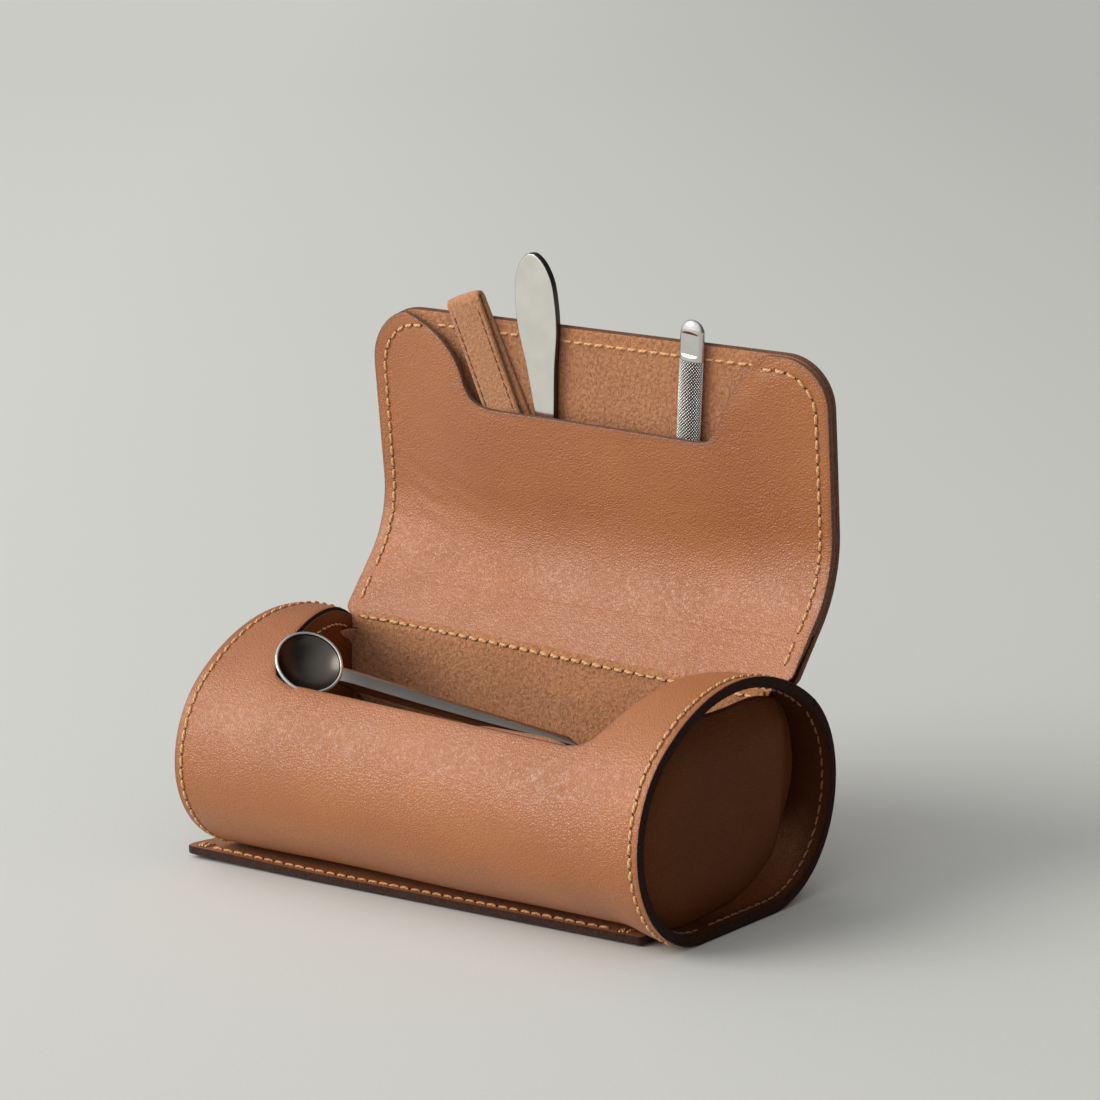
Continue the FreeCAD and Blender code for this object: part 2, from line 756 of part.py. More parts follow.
fill_sheet()
PIECES = make_all()
DOC.recompute()
export(PIECES)
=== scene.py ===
"""Looks of the grooming kit roll: leather, suede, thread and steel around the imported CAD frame.

Lengths are millimetres until a mesh is made, and metres for the floor, the light and the camera.
In the flat of a sheet u runs across it and v along it; h is the height off it.
"""

import math

import bpy
import numpy as np
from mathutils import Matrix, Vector
from mathutils.geometry import delaunay_2d_cdt


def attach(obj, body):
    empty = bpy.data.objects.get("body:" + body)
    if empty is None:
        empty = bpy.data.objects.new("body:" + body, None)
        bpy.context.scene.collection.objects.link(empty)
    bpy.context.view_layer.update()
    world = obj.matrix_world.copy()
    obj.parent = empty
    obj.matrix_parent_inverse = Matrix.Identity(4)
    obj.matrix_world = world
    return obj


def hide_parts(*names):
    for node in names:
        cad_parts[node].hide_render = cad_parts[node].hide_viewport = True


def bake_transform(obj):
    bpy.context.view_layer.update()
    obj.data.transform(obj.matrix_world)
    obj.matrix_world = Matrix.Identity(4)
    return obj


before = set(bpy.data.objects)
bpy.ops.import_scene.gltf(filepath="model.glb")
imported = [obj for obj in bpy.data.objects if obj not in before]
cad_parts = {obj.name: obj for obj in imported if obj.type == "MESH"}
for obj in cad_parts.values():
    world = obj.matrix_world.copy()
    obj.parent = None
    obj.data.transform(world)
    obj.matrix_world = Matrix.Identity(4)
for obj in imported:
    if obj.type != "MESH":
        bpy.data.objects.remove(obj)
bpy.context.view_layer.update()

MM = 0.001

# Barrel, the same oval section as the CAD
HALF_LENGTH = 75.0
HALF_DEPTH = 44.8
HEIGHT = 63.5
WIDEST = 29.0
WALL = 3.0
BASE_RUN = 28.6
FRONT_RUN = 2 * (HALF_DEPTH - WIDEST) - BASE_RUN
RISE = HEIGHT - WIDEST
DIAGONAL = math.hypot(HALF_DEPTH, RISE)
SHOULDER = (DIAGONAL - HALF_DEPTH + RISE) / 2 * DIAGONAL / HALF_DEPTH
CROWN = (DIAGONAL + HALF_DEPTH - RISE) / 2 * DIAGONAL / RISE
CROWN_Z = HEIGHT - CROWN
SHOULDER_TURN = math.degrees(math.atan2(HALF_DEPTH, RISE))
CROWN_HALF = 90 - SHOULDER_TURN

# Lid, from the hinge line up
HINGE_Y = 27.614
HINGE_Z = 57.415
LID_HALF = 73.5
LID_HEADING = 51.0
LID_STRAIGHT = 17.4
LID_RADIUS = 32.0
LID_TURN = 46.5
LID_SHIFT = 1.45
LID_SPREAD = 0.75
LID_TOP_LEFT = 48.6
LID_TOP_RIGHT = 46.2
OUTER_HALF = 0.9
LINING_FACE = 1.7
PANEL = 1.4
SPLIT = 12.0
POCKET_RISE = 3.6


def ease(low, high, at):
    """0 before low, 1 after high, and a smooth rise between them."""
    share = np.clip((np.asarray(at, float) - low) / (high - low), 0, 1)
    return share * share * (3 - 2 * share)


def arc(radius, turn):
    """A run of a track that turns by degrees, left when positive."""
    return (radius * math.radians(abs(turn)), turn)


def follow(y, z, heading, curve, length):
    """Where a run of steady curve ends, and its heading there."""
    turned = heading + curve * length
    if abs(curve) < 1e-9:
        return y + np.cos(heading) * length, z + np.sin(heading) * length, turned
    across = (np.sin(turned) - np.sin(heading)) / curve
    up = (np.cos(heading) - np.cos(turned)) / curve
    return y + across, z + up, turned


def as_points(x, y, z):
    return np.stack(np.broadcast_arrays(x, y, z), axis=-1).astype(float)


class Track:
    """A line in the YZ plane, made of straight runs and arcs and followed by its length."""

    def __init__(self, start, heading, runs):
        self.runs = []
        self.length = 0.0
        y, z = start
        heading = math.radians(heading)
        for length, turn in runs:
            curve = math.radians(turn) / length
            self.runs.append((self.length, y, z, heading, curve))
            y, z, heading = follow(y, z, heading, curve, length)
            self.length += length
        self.end = (float(y), float(z))

    def at(self, along):
        along = np.asarray(along, float)
        found = follow(*self.runs[0][1:], along)
        for start, y, z, heading, curve in self.runs[1:]:
            here = along >= start
            later = follow(y, z, heading, curve, along - start)
            found = [np.where(here, new, old) for new, old in zip(later, found)]
        return found

    def place(self, u, v, h):
        y, z, heading = self.at(v)
        return as_points(u, y - np.sin(heading) * h, z + np.cos(heading) * h)


def ending_at(end, heading, runs):
    """A track whose last point is the given one."""
    loose = Track((0, 0), heading, runs)
    return Track((end[0] - loose.end[0], end[1] - loose.end[1]), heading, runs)


# Lines and outlines in the flat


def along_line(points):
    """How far along a line each of its points is."""
    steps = np.linalg.norm(np.diff(points, axis=0), axis=1)
    return np.concatenate([[0], np.cumsum(steps)])


def spot_on(line, way, at):
    """The points of a line that lie at the given lengths of its way."""
    return np.stack([np.interp(at, way, line[:, k]) for k in range(2)], axis=-1)


def full_turn(count):
    """Even angles, once round."""
    return np.linspace(0, 2 * math.pi, count, endpoint=False)


def spaced(points, step, closed=False):
    """The same line with even spacing."""
    points = np.asarray(points, float)
    if closed:
        points = np.vstack([points, points[:1]])
    way = along_line(points)
    count = max(int(round(way[-1] / step)), 3)
    line = spot_on(points, way, np.linspace(0, way[-1], count + 1))
    return line[:-1] if closed else line


def curve_through(points, closed=False, parts=14):
    """A smooth line through points."""
    points = np.asarray(points, float)
    if closed:
        ring = np.vstack([points[-1:], points, points[:2]])
    else:
        first = 2 * points[0] - points[1]
        last = 2 * points[-1] - points[-2]
        ring = np.vstack([first, points, last])
    share = np.linspace(0, 1, parts, endpoint=False)[:, None]
    line = []
    for a, b, c, d in zip(ring, ring[1:], ring[2:], ring[3:]):
        bend = 2 * a - 5 * b + 4 * c - d
        line.append(b + 0.5 * share * (c - a + share * (bend + share * (3 * b - 3 * c + d - a))))
    if not closed:
        line.append(points[-1:])
    return np.vstack(line)


def rounded(corners, radii, parts=10):
    """A closed outline with each corner cut round."""
    corners = np.asarray(corners, float)
    line = []
    for index, (corner, radius) in enumerate(zip(corners, radii)):
        before = corners[index - 1] - corner
        after = corners[(index + 1) % len(corners)] - corner
        before = before / np.linalg.norm(before)
        after = after / np.linalg.norm(after)
        half = math.acos(np.clip(before @ after, -1, 1)) / 2
        middle = (before + after) / np.linalg.norm(before + after)
        centre = corner + middle * radius / math.sin(half)
        start = corner + before * radius / math.tan(half) - centre
        end = corner + after * radius / math.tan(half) - centre
        first = math.atan2(start[1], start[0])
        sweep = (math.atan2(end[1], end[0]) - first + math.pi) % (2 * math.pi) - math.pi
        for angle in first + sweep * np.linspace(0, 1, parts):
            line.append(centre + radius * np.array([math.cos(angle), math.sin(angle)]))
    return np.array(line)


def both_sides(right):
    """A closed outline from its right half, starting with the mirror of its first point."""
    left = [(-u, v) for u, v in reversed(right)]
    return left[-1:] + right + left[:-1]


def flat_area(loop):
    x, y = loop.T
    return 0.5 * float(np.sum(x * np.roll(y, -1) - np.roll(x, -1) * y))


def side_normals(loop, closed=True):
    """Unit normals to the left of a line."""
    if closed:
        way = np.roll(loop, -1, axis=0) - np.roll(loop, 1, axis=0)
    else:
        way = np.gradient(loop, axis=0)
    way = way / np.maximum(np.linalg.norm(way, axis=1, keepdims=True), 1e-9)
    return np.stack([-way[:, 1], way[:, 0]], axis=1)


def inside(points, loops):
    """Which points lie inside an odd number of loops."""
    odd = np.zeros(len(points), bool)
    x, y = points[:, 0], points[:, 1]
    for loop in loops:
        for (ax, ay), (bx, by) in zip(loop, np.roll(loop, -1, axis=0)):
            if ay == by:
                continue
            crosses = (ay > y) != (by > y)
            odd ^= crosses & (x < ax + (bx - ax) * (y - ay) / (by - ay))
    return odd


def nearest(points, targets):
    """How far each point is from the nearest target."""
    best = np.full(len(points), np.inf)
    for start in range(0, len(targets), 256):
        part = targets[start : start + 256]
        gap = np.linalg.norm(points[:, None, :] - part[None, :, :], axis=2)
        best = np.minimum(best, gap.min(axis=1))
    return best


def gap_to(line, u, v):
    """How far points of a sheet are from a line in its flat."""
    return nearest(np.stack([u, v], axis=1), line)


ROW_STEP = 0.866
SEAM_STEP = 0.9
SEAM_OFFSETS = (-1.6, -0.8, 0.0, 0.8, 1.6)


def lattice(loops, cell, seams):
    """Points that fill an outline, closer together along its seams."""
    edge = np.vstack(loops)
    low, high = edge.min(axis=0), edge.max(axis=0)
    rows = np.arange(low[1], high[1], cell * ROW_STEP)
    points = []
    for number, row in enumerate(rows):
        across = np.arange(low[0] + (number % 2) * cell / 2, high[0], cell)
        points.append(np.stack([across, np.full(len(across), row)], axis=1))
    points = np.vstack(points)
    points = points[inside(points, loops)]
    points = points[nearest(points, edge) > cell * 0.6]
    for seam in seams:
        line = spaced(seam, SEAM_STEP)
        normals = side_normals(line, closed=False)
        strip = np.vstack([line + normals * off for off in SEAM_OFFSETS])
        strip = strip[inside(strip, loops)]
        strip = strip[nearest(strip, edge) > 0.4]
        points = points[nearest(points, strip) > 0.7]
        points = np.vstack([points, strip])
    return points


def triangulate(loops, points):
    """Triangles of an outline; the loops' own points come first."""
    ring = []
    start = 0
    for loop in loops:
        ring += [(start + i, start + (i + 1) % len(loop)) for i in range(len(loop))]
        start += len(loop)
    every = np.vstack(list(loops) + [points])
    made = delaunay_2d_cdt([Vector(p) for p in every], ring, [], 0, 1e-6)
    corners = np.array([(p.x, p.y) for p in made[0]])
    order = np.full(len(every), -1)
    for new, olds in enumerate(made[3]):
        for old in olds:
            order[old] = new
    faces = np.array([f for f in made[2] if len(f) == 3])
    keep = inside(corners[faces].mean(axis=1), loops)
    return corners, faces[keep], order


# Meshes


def make_object(name, points, faces, materials, face_materials, attributes, creased=()):
    """A mesh object from millimetre points, smooth-shaded but for its creased faces."""
    mesh = bpy.data.meshes.new(name)
    mesh.from_pydata((points * MM).tolist(), [], faces)
    for material in materials:
        mesh.materials.append(material)
    mesh.polygons.foreach_set("material_index", np.asarray(face_materials, np.int32))
    smooth = np.ones(len(faces), bool)
    smooth[list(creased)] = False
    mesh.polygons.foreach_set("use_smooth", smooth)
    for label, values in attributes.items():
        values = np.asarray(values, np.float32)
        kind = "FLOAT_VECTOR" if values.ndim == 2 else "FLOAT"
        layer = mesh.attributes.new(label, kind, "POINT")
        layer.data.foreach_set("vector" if values.ndim == 2 else "value", values.ravel())
    mesh.update()
    made = bpy.data.objects.new(name, mesh)
    bpy.context.scene.collection.objects.link(made)
    return made


def as_height(given):
    """A height over a sheet's flat, from a number or a function."""
    if callable(given):
        return given
    return lambda u, v: np.full(np.shape(u), float(given))


JOINT_REACH = 0.9


def on_joint(points, joints):
    """Which points of an outline lie where the sheet runs on into another piece."""
    found = np.zeros(len(points), bool)
    for joint in joints:
        found |= np.abs(points[:, 1] - joint) < JOINT_REACH
    return found


OUTLINE_STEP = 1.2
RIM_STEP = 0.6
GROOVE_STEP = 0.4
GROOVE_WIDTH = 0.9
RELIEF_START = 4
EDGE_ANGLES = np.radians([30, 60, 90])
NO_RIM = 9.0


def cut_sheet(name, outline, place, low, high, materials, cell=1.5, holes=(), edge=0.5, seams=(),
              groove=0.22, dome=(0, 1), relief=None, joints=()):
    """A sheet cut to an outline, with round raw edges, laid where place puts it.

    The three materials are the top face's, the edge's and the bottom face's. A joint is a v at which
    the sheet runs on into another piece: there its edge has the materials of its faces.
    """
    low, high = as_height(low), as_height(high)
    loops = []
    for number, loop in enumerate([outline] + list(holes)):
        loop = spaced(loop, min(cell, OUTLINE_STEP), closed=True)
        if (flat_area(loop) > 0) != (number == 0):
            loop = loop[::-1]
        loops.append(loop)
    normals = [side_normals(loop) for loop in loops]
    inner = [loop + normal * edge for loop, normal in zip(loops, normals)]
    corners, faces, order = triangulate(inner, lattice(inner, cell, seams))
    raw = np.vstack([spaced(loop, RIM_STEP, closed=True) for loop in loops])
    rim = nearest(corners, raw[~on_joint(raw, joints)])
    u, v = corners.T
    swell = dome[0] * (1 - (1 - np.clip(rim / dome[1], 0, 1)) ** 2)
    lift = np.zeros(len(corners))
    for seam in seams:
        off = nearest(corners, spaced(seam, GROOVE_STEP))
        lift -= groove * np.exp(-((off / GROOVE_WIDTH) ** 2))
    if relief is not None:
        lift = lift + relief(u, v) * ease(0, RELIEF_START, rim)
    tops = np.stack([u, v, high(u, v) + swell + lift], axis=1)
    bottoms = np.stack([u, v, low(u, v) + swell], axis=1)
    count = len(corners)
    flat = [tops, bottoms]
    rims = [rim, rim]
    all_faces = faces.tolist() + (faces[:, ::-1] + count).tolist()
    kinds = [0] * len(faces) + [2] * len(faces)
    creased = []
    next_free = 2 * count
    start = 0
    for loop, normal, ring in zip(loops, normals, inner):
        top = order[start : start + len(loop)]
        start += len(loop)
        hidden = on_joint(loop, joints)
        upper_edge = high(*ring.T) + swell[top] + lift[top]
        lower_edge = low(*ring.T) + swell[top]
        bands = [(angle, upper_edge, -edge) for angle in EDGE_ANGLES]
        bands += [(angle, lower_edge, edge) for angle in EDGE_ANGLES[::-1]]
        rows = [top]
        for angle, level, drop in bands:
            spot = loop + normal * edge * (1 - math.sin(angle))
            flat.append(np.column_stack([spot, level + drop * (1 - math.cos(angle))]))
            rims.append(np.where(hidden, NO_RIM, 0.0))
            rows.append(np.arange(next_free, next_free + len(spot)))
            next_free += len(spot)
        rows.append(top + count)
        for number, (upper, lower) in enumerate(zip(rows, rows[1:])):
            side = 0 if number < len(bands) / 2 else 2
            outermost = number in (0, len(bands))
            for i in range(len(loop)):
                j = (i + 1) % len(loop)
                if hidden[i] and hidden[j]:
                    creased.append(len(all_faces))
                    kinds.append(side)
                else:
                    kinds.append(side if outermost else 1)
                all_faces.append([int(k) for k in (upper[i], lower[i], lower[j], upper[j])])
    flat = np.vstack(flat)
    points = place(flat[:, 0], flat[:, 1], flat[:, 2])
    flat[:, 2] -= high(flat[:, 0], flat[:, 1])
    attributes = {"flat": flat * MM, "rim": np.concatenate(rims)}
    made = make_object(name, points, all_faces, materials, kinds, attributes, creased)
    return made


def settle(pieces, body, node):
    """Attaches pieces to one body and hides the CAD part they stand in for."""
    for piece in pieces:
        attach(piece, body)
    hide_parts(node)


def dress(sheet, trim, node, body="case"):
    """Settles a sheet with its trim."""
    settle([sheet] + trim, body, node)


STITCH_RINGS = 9
STITCH_AROUND = 8
HOLE_CORNERS = 8
HOLE_LIFT = 0.03

# How much hand-made stitches differ in place, slant, length and thickness
PLACE_SPREAD = 0.07
SLANT_SPREAD = 3.0
LENGTH_SPREAD = 0.05
THICK_SPREAD = 0.06


def stitch_row(name, line, place, height, side=1, pitch=3.45, length=2.8, thread=0.41, slant=5, seed=1,
               materials=None):
    """Thread stitches along a line, each a small slanting capsule between two needle holes."""
    height = as_height(height)
    chance = np.random.default_rng(seed)
    line = np.asarray(line, float)
    way = along_line(line)
    count = int((way[-1] - 0.8) // pitch)
    spare = (way[-1] - count * pitch) / 2
    share = np.sin(np.linspace(-1, 1, STITCH_RINGS) * math.pi / 2)
    angles = full_turn(STITCH_AROUND)
    corners = full_turn(HOLE_CORNERS)
    spots, faces, kinds, flats = [], [], [], []
    for number in range(count):
        at = spare + (number + 0.5) * pitch + chance.normal(0, PLACE_SPREAD)
        centre = spot_on(line, way, at)
        ahead = spot_on(line, way, at + 0.6) - centre
        turn = math.atan2(ahead[1], ahead[0]) + math.radians(slant + chance.normal(0, SLANT_SPREAD))
        run = np.array([math.cos(turn), math.sin(turn)])
        across = np.array([-run[1], run[0]])
        half = length / 2 * (1 + chance.normal(0, LENGTH_SPREAD))
        thick = thread * (1 + chance.normal(0, THICK_SPREAD))
        first = len(spots)
        for part in share:
            middle = centre + run * half * part
            belly = math.sqrt(max(1 - part * part, 0))
            radius = thick * (0.35 + 0.65 * belly**0.6)
            rise = thick * (1.1 * belly - 0.5)
            for angle in angles:
                spot = middle + across * radius * math.cos(angle)
                spots.append((spot[0], spot[1], side * (rise + radius * math.sin(angle))))
                flats.append((half * part, radius * angle, number))
        for ring in range(STITCH_RINGS - 1):
            near, far = first + ring * STITCH_AROUND, first + (ring + 1) * STITCH_AROUND
            for i in range(STITCH_AROUND):
                j = (i + 1) % STITCH_AROUND
                quad = (near + i, far + i, far + j, near + j)
                faces.append(quad if side < 0 else quad[::-1])
                kinds.append(0)
        # Each needle hole is a flat dark disc just over the leather: painted shade of the hole.
        for end in (-1, 1):
            hole = centre + run * end * (half + 0.05)
            first = len(spots)
            for angle in corners:
                spot = hole + thick * (run * 0.75 * math.cos(angle) + across * 0.95 * math.sin(angle))
                spots.append((spot[0], spot[1], side * HOLE_LIFT))
                flats.append((spot[0] - hole[0], spot[1] - hole[1], number))
            ring = tuple(range(first, first + HOLE_CORNERS))
            faces.append(ring if side > 0 else ring[::-1])
            kinds.append(1)
    spots = np.array(spots)
    spots[:, 2] += height(spots[:, 0], spots[:, 1])
    points = place(spots[:, 0], spots[:, 1], spots[:, 2])
    attributes = {"flat": np.array(flats) * MM}
    return make_object(name, points, faces, materials or [THREAD, HOLE_SHADE], kinds, attributes)


def knot(name, at, place, height, seed):
    """The end of a row: a few turns of thread over one another."""
    turns = [(at[0] + off, at[1] - 1.4 + 0.3 * off) for off in (-0.9, 0.1, 1.0)]
    lines = [np.array([(x, y), (x + 0.7 * (-1) ** k, y + 3.7)]) for k, (x, y) in enumerate(turns)]
    shape = {"pitch": 2.9, "length": 3.2, "thread": 0.44, "slant": 4}
    return [
        stitch_row(f"{name}_{k}", line, place, height, seed=seed + k, **shape)
        for k, line in enumerate(lines)
    ]


# Materials


class Graph:
    """Nodes of one tree, added step by step."""

    def __init__(self, tree):
        self.nodes = tree.nodes
        self.links = tree.links

    def feed(self, socket, item):
        if isinstance(item, bpy.types.NodeSocket):
            self.links.new(item, socket)
        else:
            socket.default_value = item

    def node(self, kind, inputs, **settings):
        made = self.nodes.new(kind)
        for key, item in settings.items():
            setattr(made, key, item)
        for key, item in inputs.items():
            self.feed(made.inputs[key], item)
        return made

    def attribute(self, name, output="Vector"):
        return self.node("ShaderNodeAttribute", {}, attribute_name=name).outputs[output]

    def stretched(self, vector, scale):
        return self.node("ShaderNodeMapping", {"Vector": vector, "Scale": scale}).outputs["Vector"]

    def noise(self, vector, scale, detail=3.0, rough=0.55, warp=0.0):
        inputs = {"Vector": vector, "Scale": scale, "Detail": detail}
        inputs |= {"Roughness": rough, "Distortion": warp}
        return self.node("ShaderNodeTexNoise", inputs).outputs["Fac"]

    def cells(self, vector, scale, feature="F1"):
        inputs = {"Vector": vector, "Scale": scale}
        return self.node("ShaderNodeTexVoronoi", inputs, feature=feature).outputs["Distance"]

    def moved(self, vector, by, amount):
        """A vector pushed about by a colour's noise."""
        noise = self.node("ShaderNodeTexNoise", {"Vector": vector, "Scale": by, "Detail": 2.0})
        shift = {0: noise.outputs["Color"], 1: (0.5, 0.5, 0.5)}
        centred = self.node("ShaderNodeVectorMath", shift, operation="SUBTRACT")
        small = {0: centred.outputs["Vector"], "Scale": amount}
        scaled = self.node("ShaderNodeVectorMath", small, operation="SCALE")
        both = {0: vector, 1: scaled.outputs["Vector"]}
        return self.node("ShaderNodeVectorMath", both, operation="ADD").outputs["Vector"]

    def ranged(self, value, low, high, out_low, out_high):
        inputs = {"Value": value, 1: low, 2: high, 3: out_low, 4: out_high}
        return self.node("ShaderNodeMapRange", inputs).outputs["Result"]

    def mix(self, share, first, second):
        made = self.node("ShaderNodeMix", {0: share, 6: first, 7: second}, data_type="RGBA")
        return made.outputs[2]

    def math(self, operation, first, second):
        return self.node("ShaderNodeMath", {0: first, 1: second}, operation=operation).outputs["Value"]

    def bump(self, height, strength, distance, normal=None):
        inputs = {"Height": height, "Strength": strength, "Distance": distance}
        if normal is not None:
            inputs["Normal"] = normal
        return self.node("ShaderNodeBump", inputs).outputs["Normal"]

    def along(self, vector, direction):
        both = {0: vector, 1: direction}
        return self.node("ShaderNodeVectorMath", both, operation="DOT_PRODUCT").outputs["Value"]


class Finish(Graph):
    """A material and its shader."""

    def __init__(self, name):
        self.material = bpy.data.materials.new(name)
        self.material.use_nodes = True
        super().__init__(self.material.node_tree)
        self.shader = self.nodes["Principled BSDF"]

    def set(self, **inputs):
        """Links or constants for the shader's own sockets."""
        for key, item in inputs.items():
            self.feed(self.shader.inputs[key.replace("_", " ")], item)


def colour(red, green, blue):
    return (red, green, blue, 1.0)


def smooth_leather(name, light, dark, burnt, rough=(0.37, 0.43), grain=0.65, gloss=0.75, burn=0.6,
                   sheen=0.05):
    """Full-grain leather: broad mottling, a fine pebbled grain that is deeper in places, burnished rims."""
    light, dark, burnt = (colour(*tone) for tone in (light, dark, burnt))
    f = Finish(name)
    flat = f.attribute("flat")
    clouds = f.noise(flat, 26.0, detail=4.0, rough=0.6)
    specks = f.noise(flat, 700.0, detail=2.0)
    wandering = f.moved(f.stretched(flat, (1.0, 0.8, 1.0)), 300.0, 0.0007)
    pebbles = f.ranged(f.cells(wandering, 1450.0, "DISTANCE_TO_EDGE"), 0.0, 0.35, 0.0, 1.0)
    creases = f.ranged(f.cells(wandering, 600.0, "DISTANCE_TO_EDGE"), 0.0, 0.12, 0.0, 1.0)
    depth = f.ranged(f.noise(flat, 33.0, detail=2.0), 0.3, 0.7, 0.6, 1.0)
    tone = f.mix(f.ranged(clouds, 0.32, 0.68, 0.0, 1.0), dark, light)
    tone = f.mix(f.ranged(specks, 0.35, 0.7, 0.0, 0.18), tone, dark)
    tone = f.mix(f.math("MULTIPLY", f.ranged(pebbles, 0.0, 0.6, 0.6, 0.0), depth), tone, dark)
    rim = f.math("ADD", f.attribute("rim", "Fac"), f.ranged(clouds, 0.3, 0.7, -0.4, 0.4))
    tone = f.mix(f.ranged(rim, 0.0, 1.6, burn, 0.0), tone, burnt)
    height = f.math("ADD", f.math("MULTIPLY", pebbles, 0.7), f.math("MULTIPLY", creases, 0.3))
    fine = f.bump(f.math("MULTIPLY", height, depth), grain, 0.00028)
    normal = f.bump(f.noise(flat, 75.0, detail=2.0), 0.08, 0.0012, fine)
    f.set(Base_Color=tone, Roughness=f.ranged(clouds, 0.3, 0.7, *rough), Normal=normal)
    f.set(Specular_IOR_Level=gloss, Sheen_Weight=sheen, Sheen_Roughness=0.5)
    return f.material


def fuzzy_leather(name, light, dark, nap=950.0, strength=1.0, sheen=0.3):
    """Suede or a raw cut edge: clumped nap with lighter fibre ends."""
    light, dark = colour(*light), colour(*dark)
    f = Finish(name)
    flat = f.attribute("flat")
    clouds = f.noise(flat, 45.0, detail=3.0)
    clumps = f.noise(flat, nap, detail=4.0, rough=0.65, warp=0.6)
    fibres = f.noise(f.stretched(flat, (1.0, 0.45, 1.0)), nap * 2.4, detail=2.0)
    tone = f.mix(f.ranged(clumps, 0.34, 0.62, 0.0, 1.0), dark, light)
    tone = f.mix(f.ranged(clouds, 0.3, 0.7, 0.0, 0.25), tone, dark)
    tone = f.mix(f.ranged(fibres, 0.35, 0.75, 0.0, 0.35), tone, light)
    height = f.math("ADD", clumps, f.math("MULTIPLY", fibres, 0.5))
    f.set(Base_Color=tone, Normal=f.bump(height, strength, 0.0007))
    f.set(Roughness=0.95, Specular_IOR_Level=0.12, Sheen_Weight=sheen, Sheen_Roughness=0.45)
    return f.material


def spun_thread(name, light, dark):
    """Waxed thread with a visible twist."""
    light, dark = colour(*light), colour(*dark)
    f = Finish(name)
    waves = {"Vector": f.attribute("flat"), "Scale": 480.0, "Distortion": 1.2, "Detail": 1.0}
    twist = f.node("ShaderNodeTexWave", waves, bands_direction="DIAGONAL").outputs["Fac"]
    f.set(Base_Color=f.mix(twist, dark, light), Normal=f.bump(twist, 0.5, 0.0002))
    f.set(Roughness=0.6, Sheen_Weight=0.1)
    return f.material


def hole_shade_disc(name):
    # A needle hole is drawn as a flat near-black disc: painted shade of the hole.
    f = Finish(name)
    hole_speckle = f.noise(f.attribute("flat"), 900.0)
    f.set(Base_Color=f.mix(hole_speckle, colour(0.02, 0.008, 0.004), colour(0.05, 0.018, 0.008)))
    f.set(Roughness=0.9)
    return f.material


def steel(name, tint, rough, streak, brushed, pitted=False):
    """Steel with a fine drawn finish and faint wear; a knurl's pits are painted near black, painted shade
    in its grooves.
    """
    f = Finish(name)
    flat = f.attribute("flat")
    lines = f.noise(f.stretched(flat, (1.0, 0.03, 1.0)), 2600.0, detail=3.0)
    stains = f.noise(flat, 140.0, detail=3.0)
    stained = colour(*(0.88 * t for t in tint))
    tone = f.mix(f.ranged(stains, 0.3, 0.7, 0.0, 1.0), stained, colour(*tint))
    if pitted:
        # The knurl's pits are painted near black: painted shade in the grooves.
        pit_shade = f.ranged(f.attribute("pit", "Fac"), 0.3, 0.7, 0.0, 0.97)
        tone = f.mix(pit_shade, tone, colour(0.012, 0.011, 0.01))
    uneven = f.math("ADD", f.math("MULTIPLY", lines, brushed), f.math("MULTIPLY", stains, streak))
    f.set(Base_Color=tone, Roughness=f.ranged(uneven, 0.0, brushed + streak, rough * 0.8, rough * 1.2))
    f.set(Normal=f.bump(lines, 0.06 * brushed, 0.00008), Metallic=1.0)
    return f.material


MATT = {"gloss": 0.05, "sheen": 0.0}
TAN = smooth_leather("tan_leather", (0.405, 0.132, 0.028), (0.32, 0.098, 0.020), (0.16, 0.047, 0.013))
BROWN = smooth_leather(
    "dark_leather", (0.140, 0.043, 0.012), (0.10, 0.029, 0.008), (0.04, 0.012, 0.004), **MATT
)
INNER = smooth_leather(
    "leather_inside", (0.072, 0.022, 0.007), (0.048, 0.0145, 0.0045), (0.03, 0.009, 0.003), **MATT
)
GUSSET = smooth_leather(
    "gusset_leather", (0.19, 0.06, 0.017), (0.14, 0.042, 0.011), (0.07, 0.021, 0.007), gloss=0.1, sheen=0.0
)
SUEDE = fuzzy_leather("suede", (0.57, 0.257, 0.115), (0.285, 0.104, 0.040))
STRAP = fuzzy_leather("strap_suede", (0.60, 0.28, 0.13), (0.35, 0.138, 0.056), nap=1250.0)
RAW_EDGE = fuzzy_leather(
    "raw_edge", (0.036, 0.011, 0.006), (0.015, 0.0045, 0.0028), nap=1500.0, sheen=0.02
)
FOOT_EDGE = fuzzy_leather(
    "foot_edge", (0.070, 0.031, 0.022), (0.026, 0.011, 0.008), nap=1400.0, sheen=0.08
)
CUT_EDGE = fuzzy_leather("cut_edge", (0.21, 0.085, 0.042), (0.09, 0.034, 0.017), nap=1500.0, sheen=0.15)
THREAD = spun_thread("thread", (0.76, 0.44, 0.20), (0.52, 0.25, 0.085))
# A darker copy of the thread: painted shade on the barrel's inside rows, and the strap's darker stitching.
DARK_AND_SHADED_THREAD = spun_thread("thread_dark_and_shaded", (0.25, 0.095, 0.035), (0.15, 0.052, 0.02))
HOLE_SHADE = hole_shade_disc("hole_shade_disc")
SATIN = steel("brushed_steel", (0.78, 0.76, 0.71), 0.24, 0.4, 0.8)
KNURLED = steel("knurled_steel", (0.80, 0.78, 0.73), 0.25, 0.4, 0.3, pitted=True)
# Polished steel for the file's tip; on the scoop's rim it is a painted highlight, bright against the
# near-black bowl.
POLISHED_AND_HIGHLIGHT = steel("polished_steel", (0.66, 0.65, 0.62), 0.1, 0.5, 0.3)
# Near-black steel for the scoop's bowl and the spatula's edges: painted shade and dark reflection on the
# same steel as the rest.
SHADED_STEEL = steel("steel_painted_shade", (0.085, 0.075, 0.062), 0.30, 0.5, 0.4)
# The handle's steel is tinted darker than bare steel: painted dark reflection.
HANDLE_STEEL = steel("handle_steel", (0.33, 0.30, 0.265), 0.16, 0.5, 0.4)


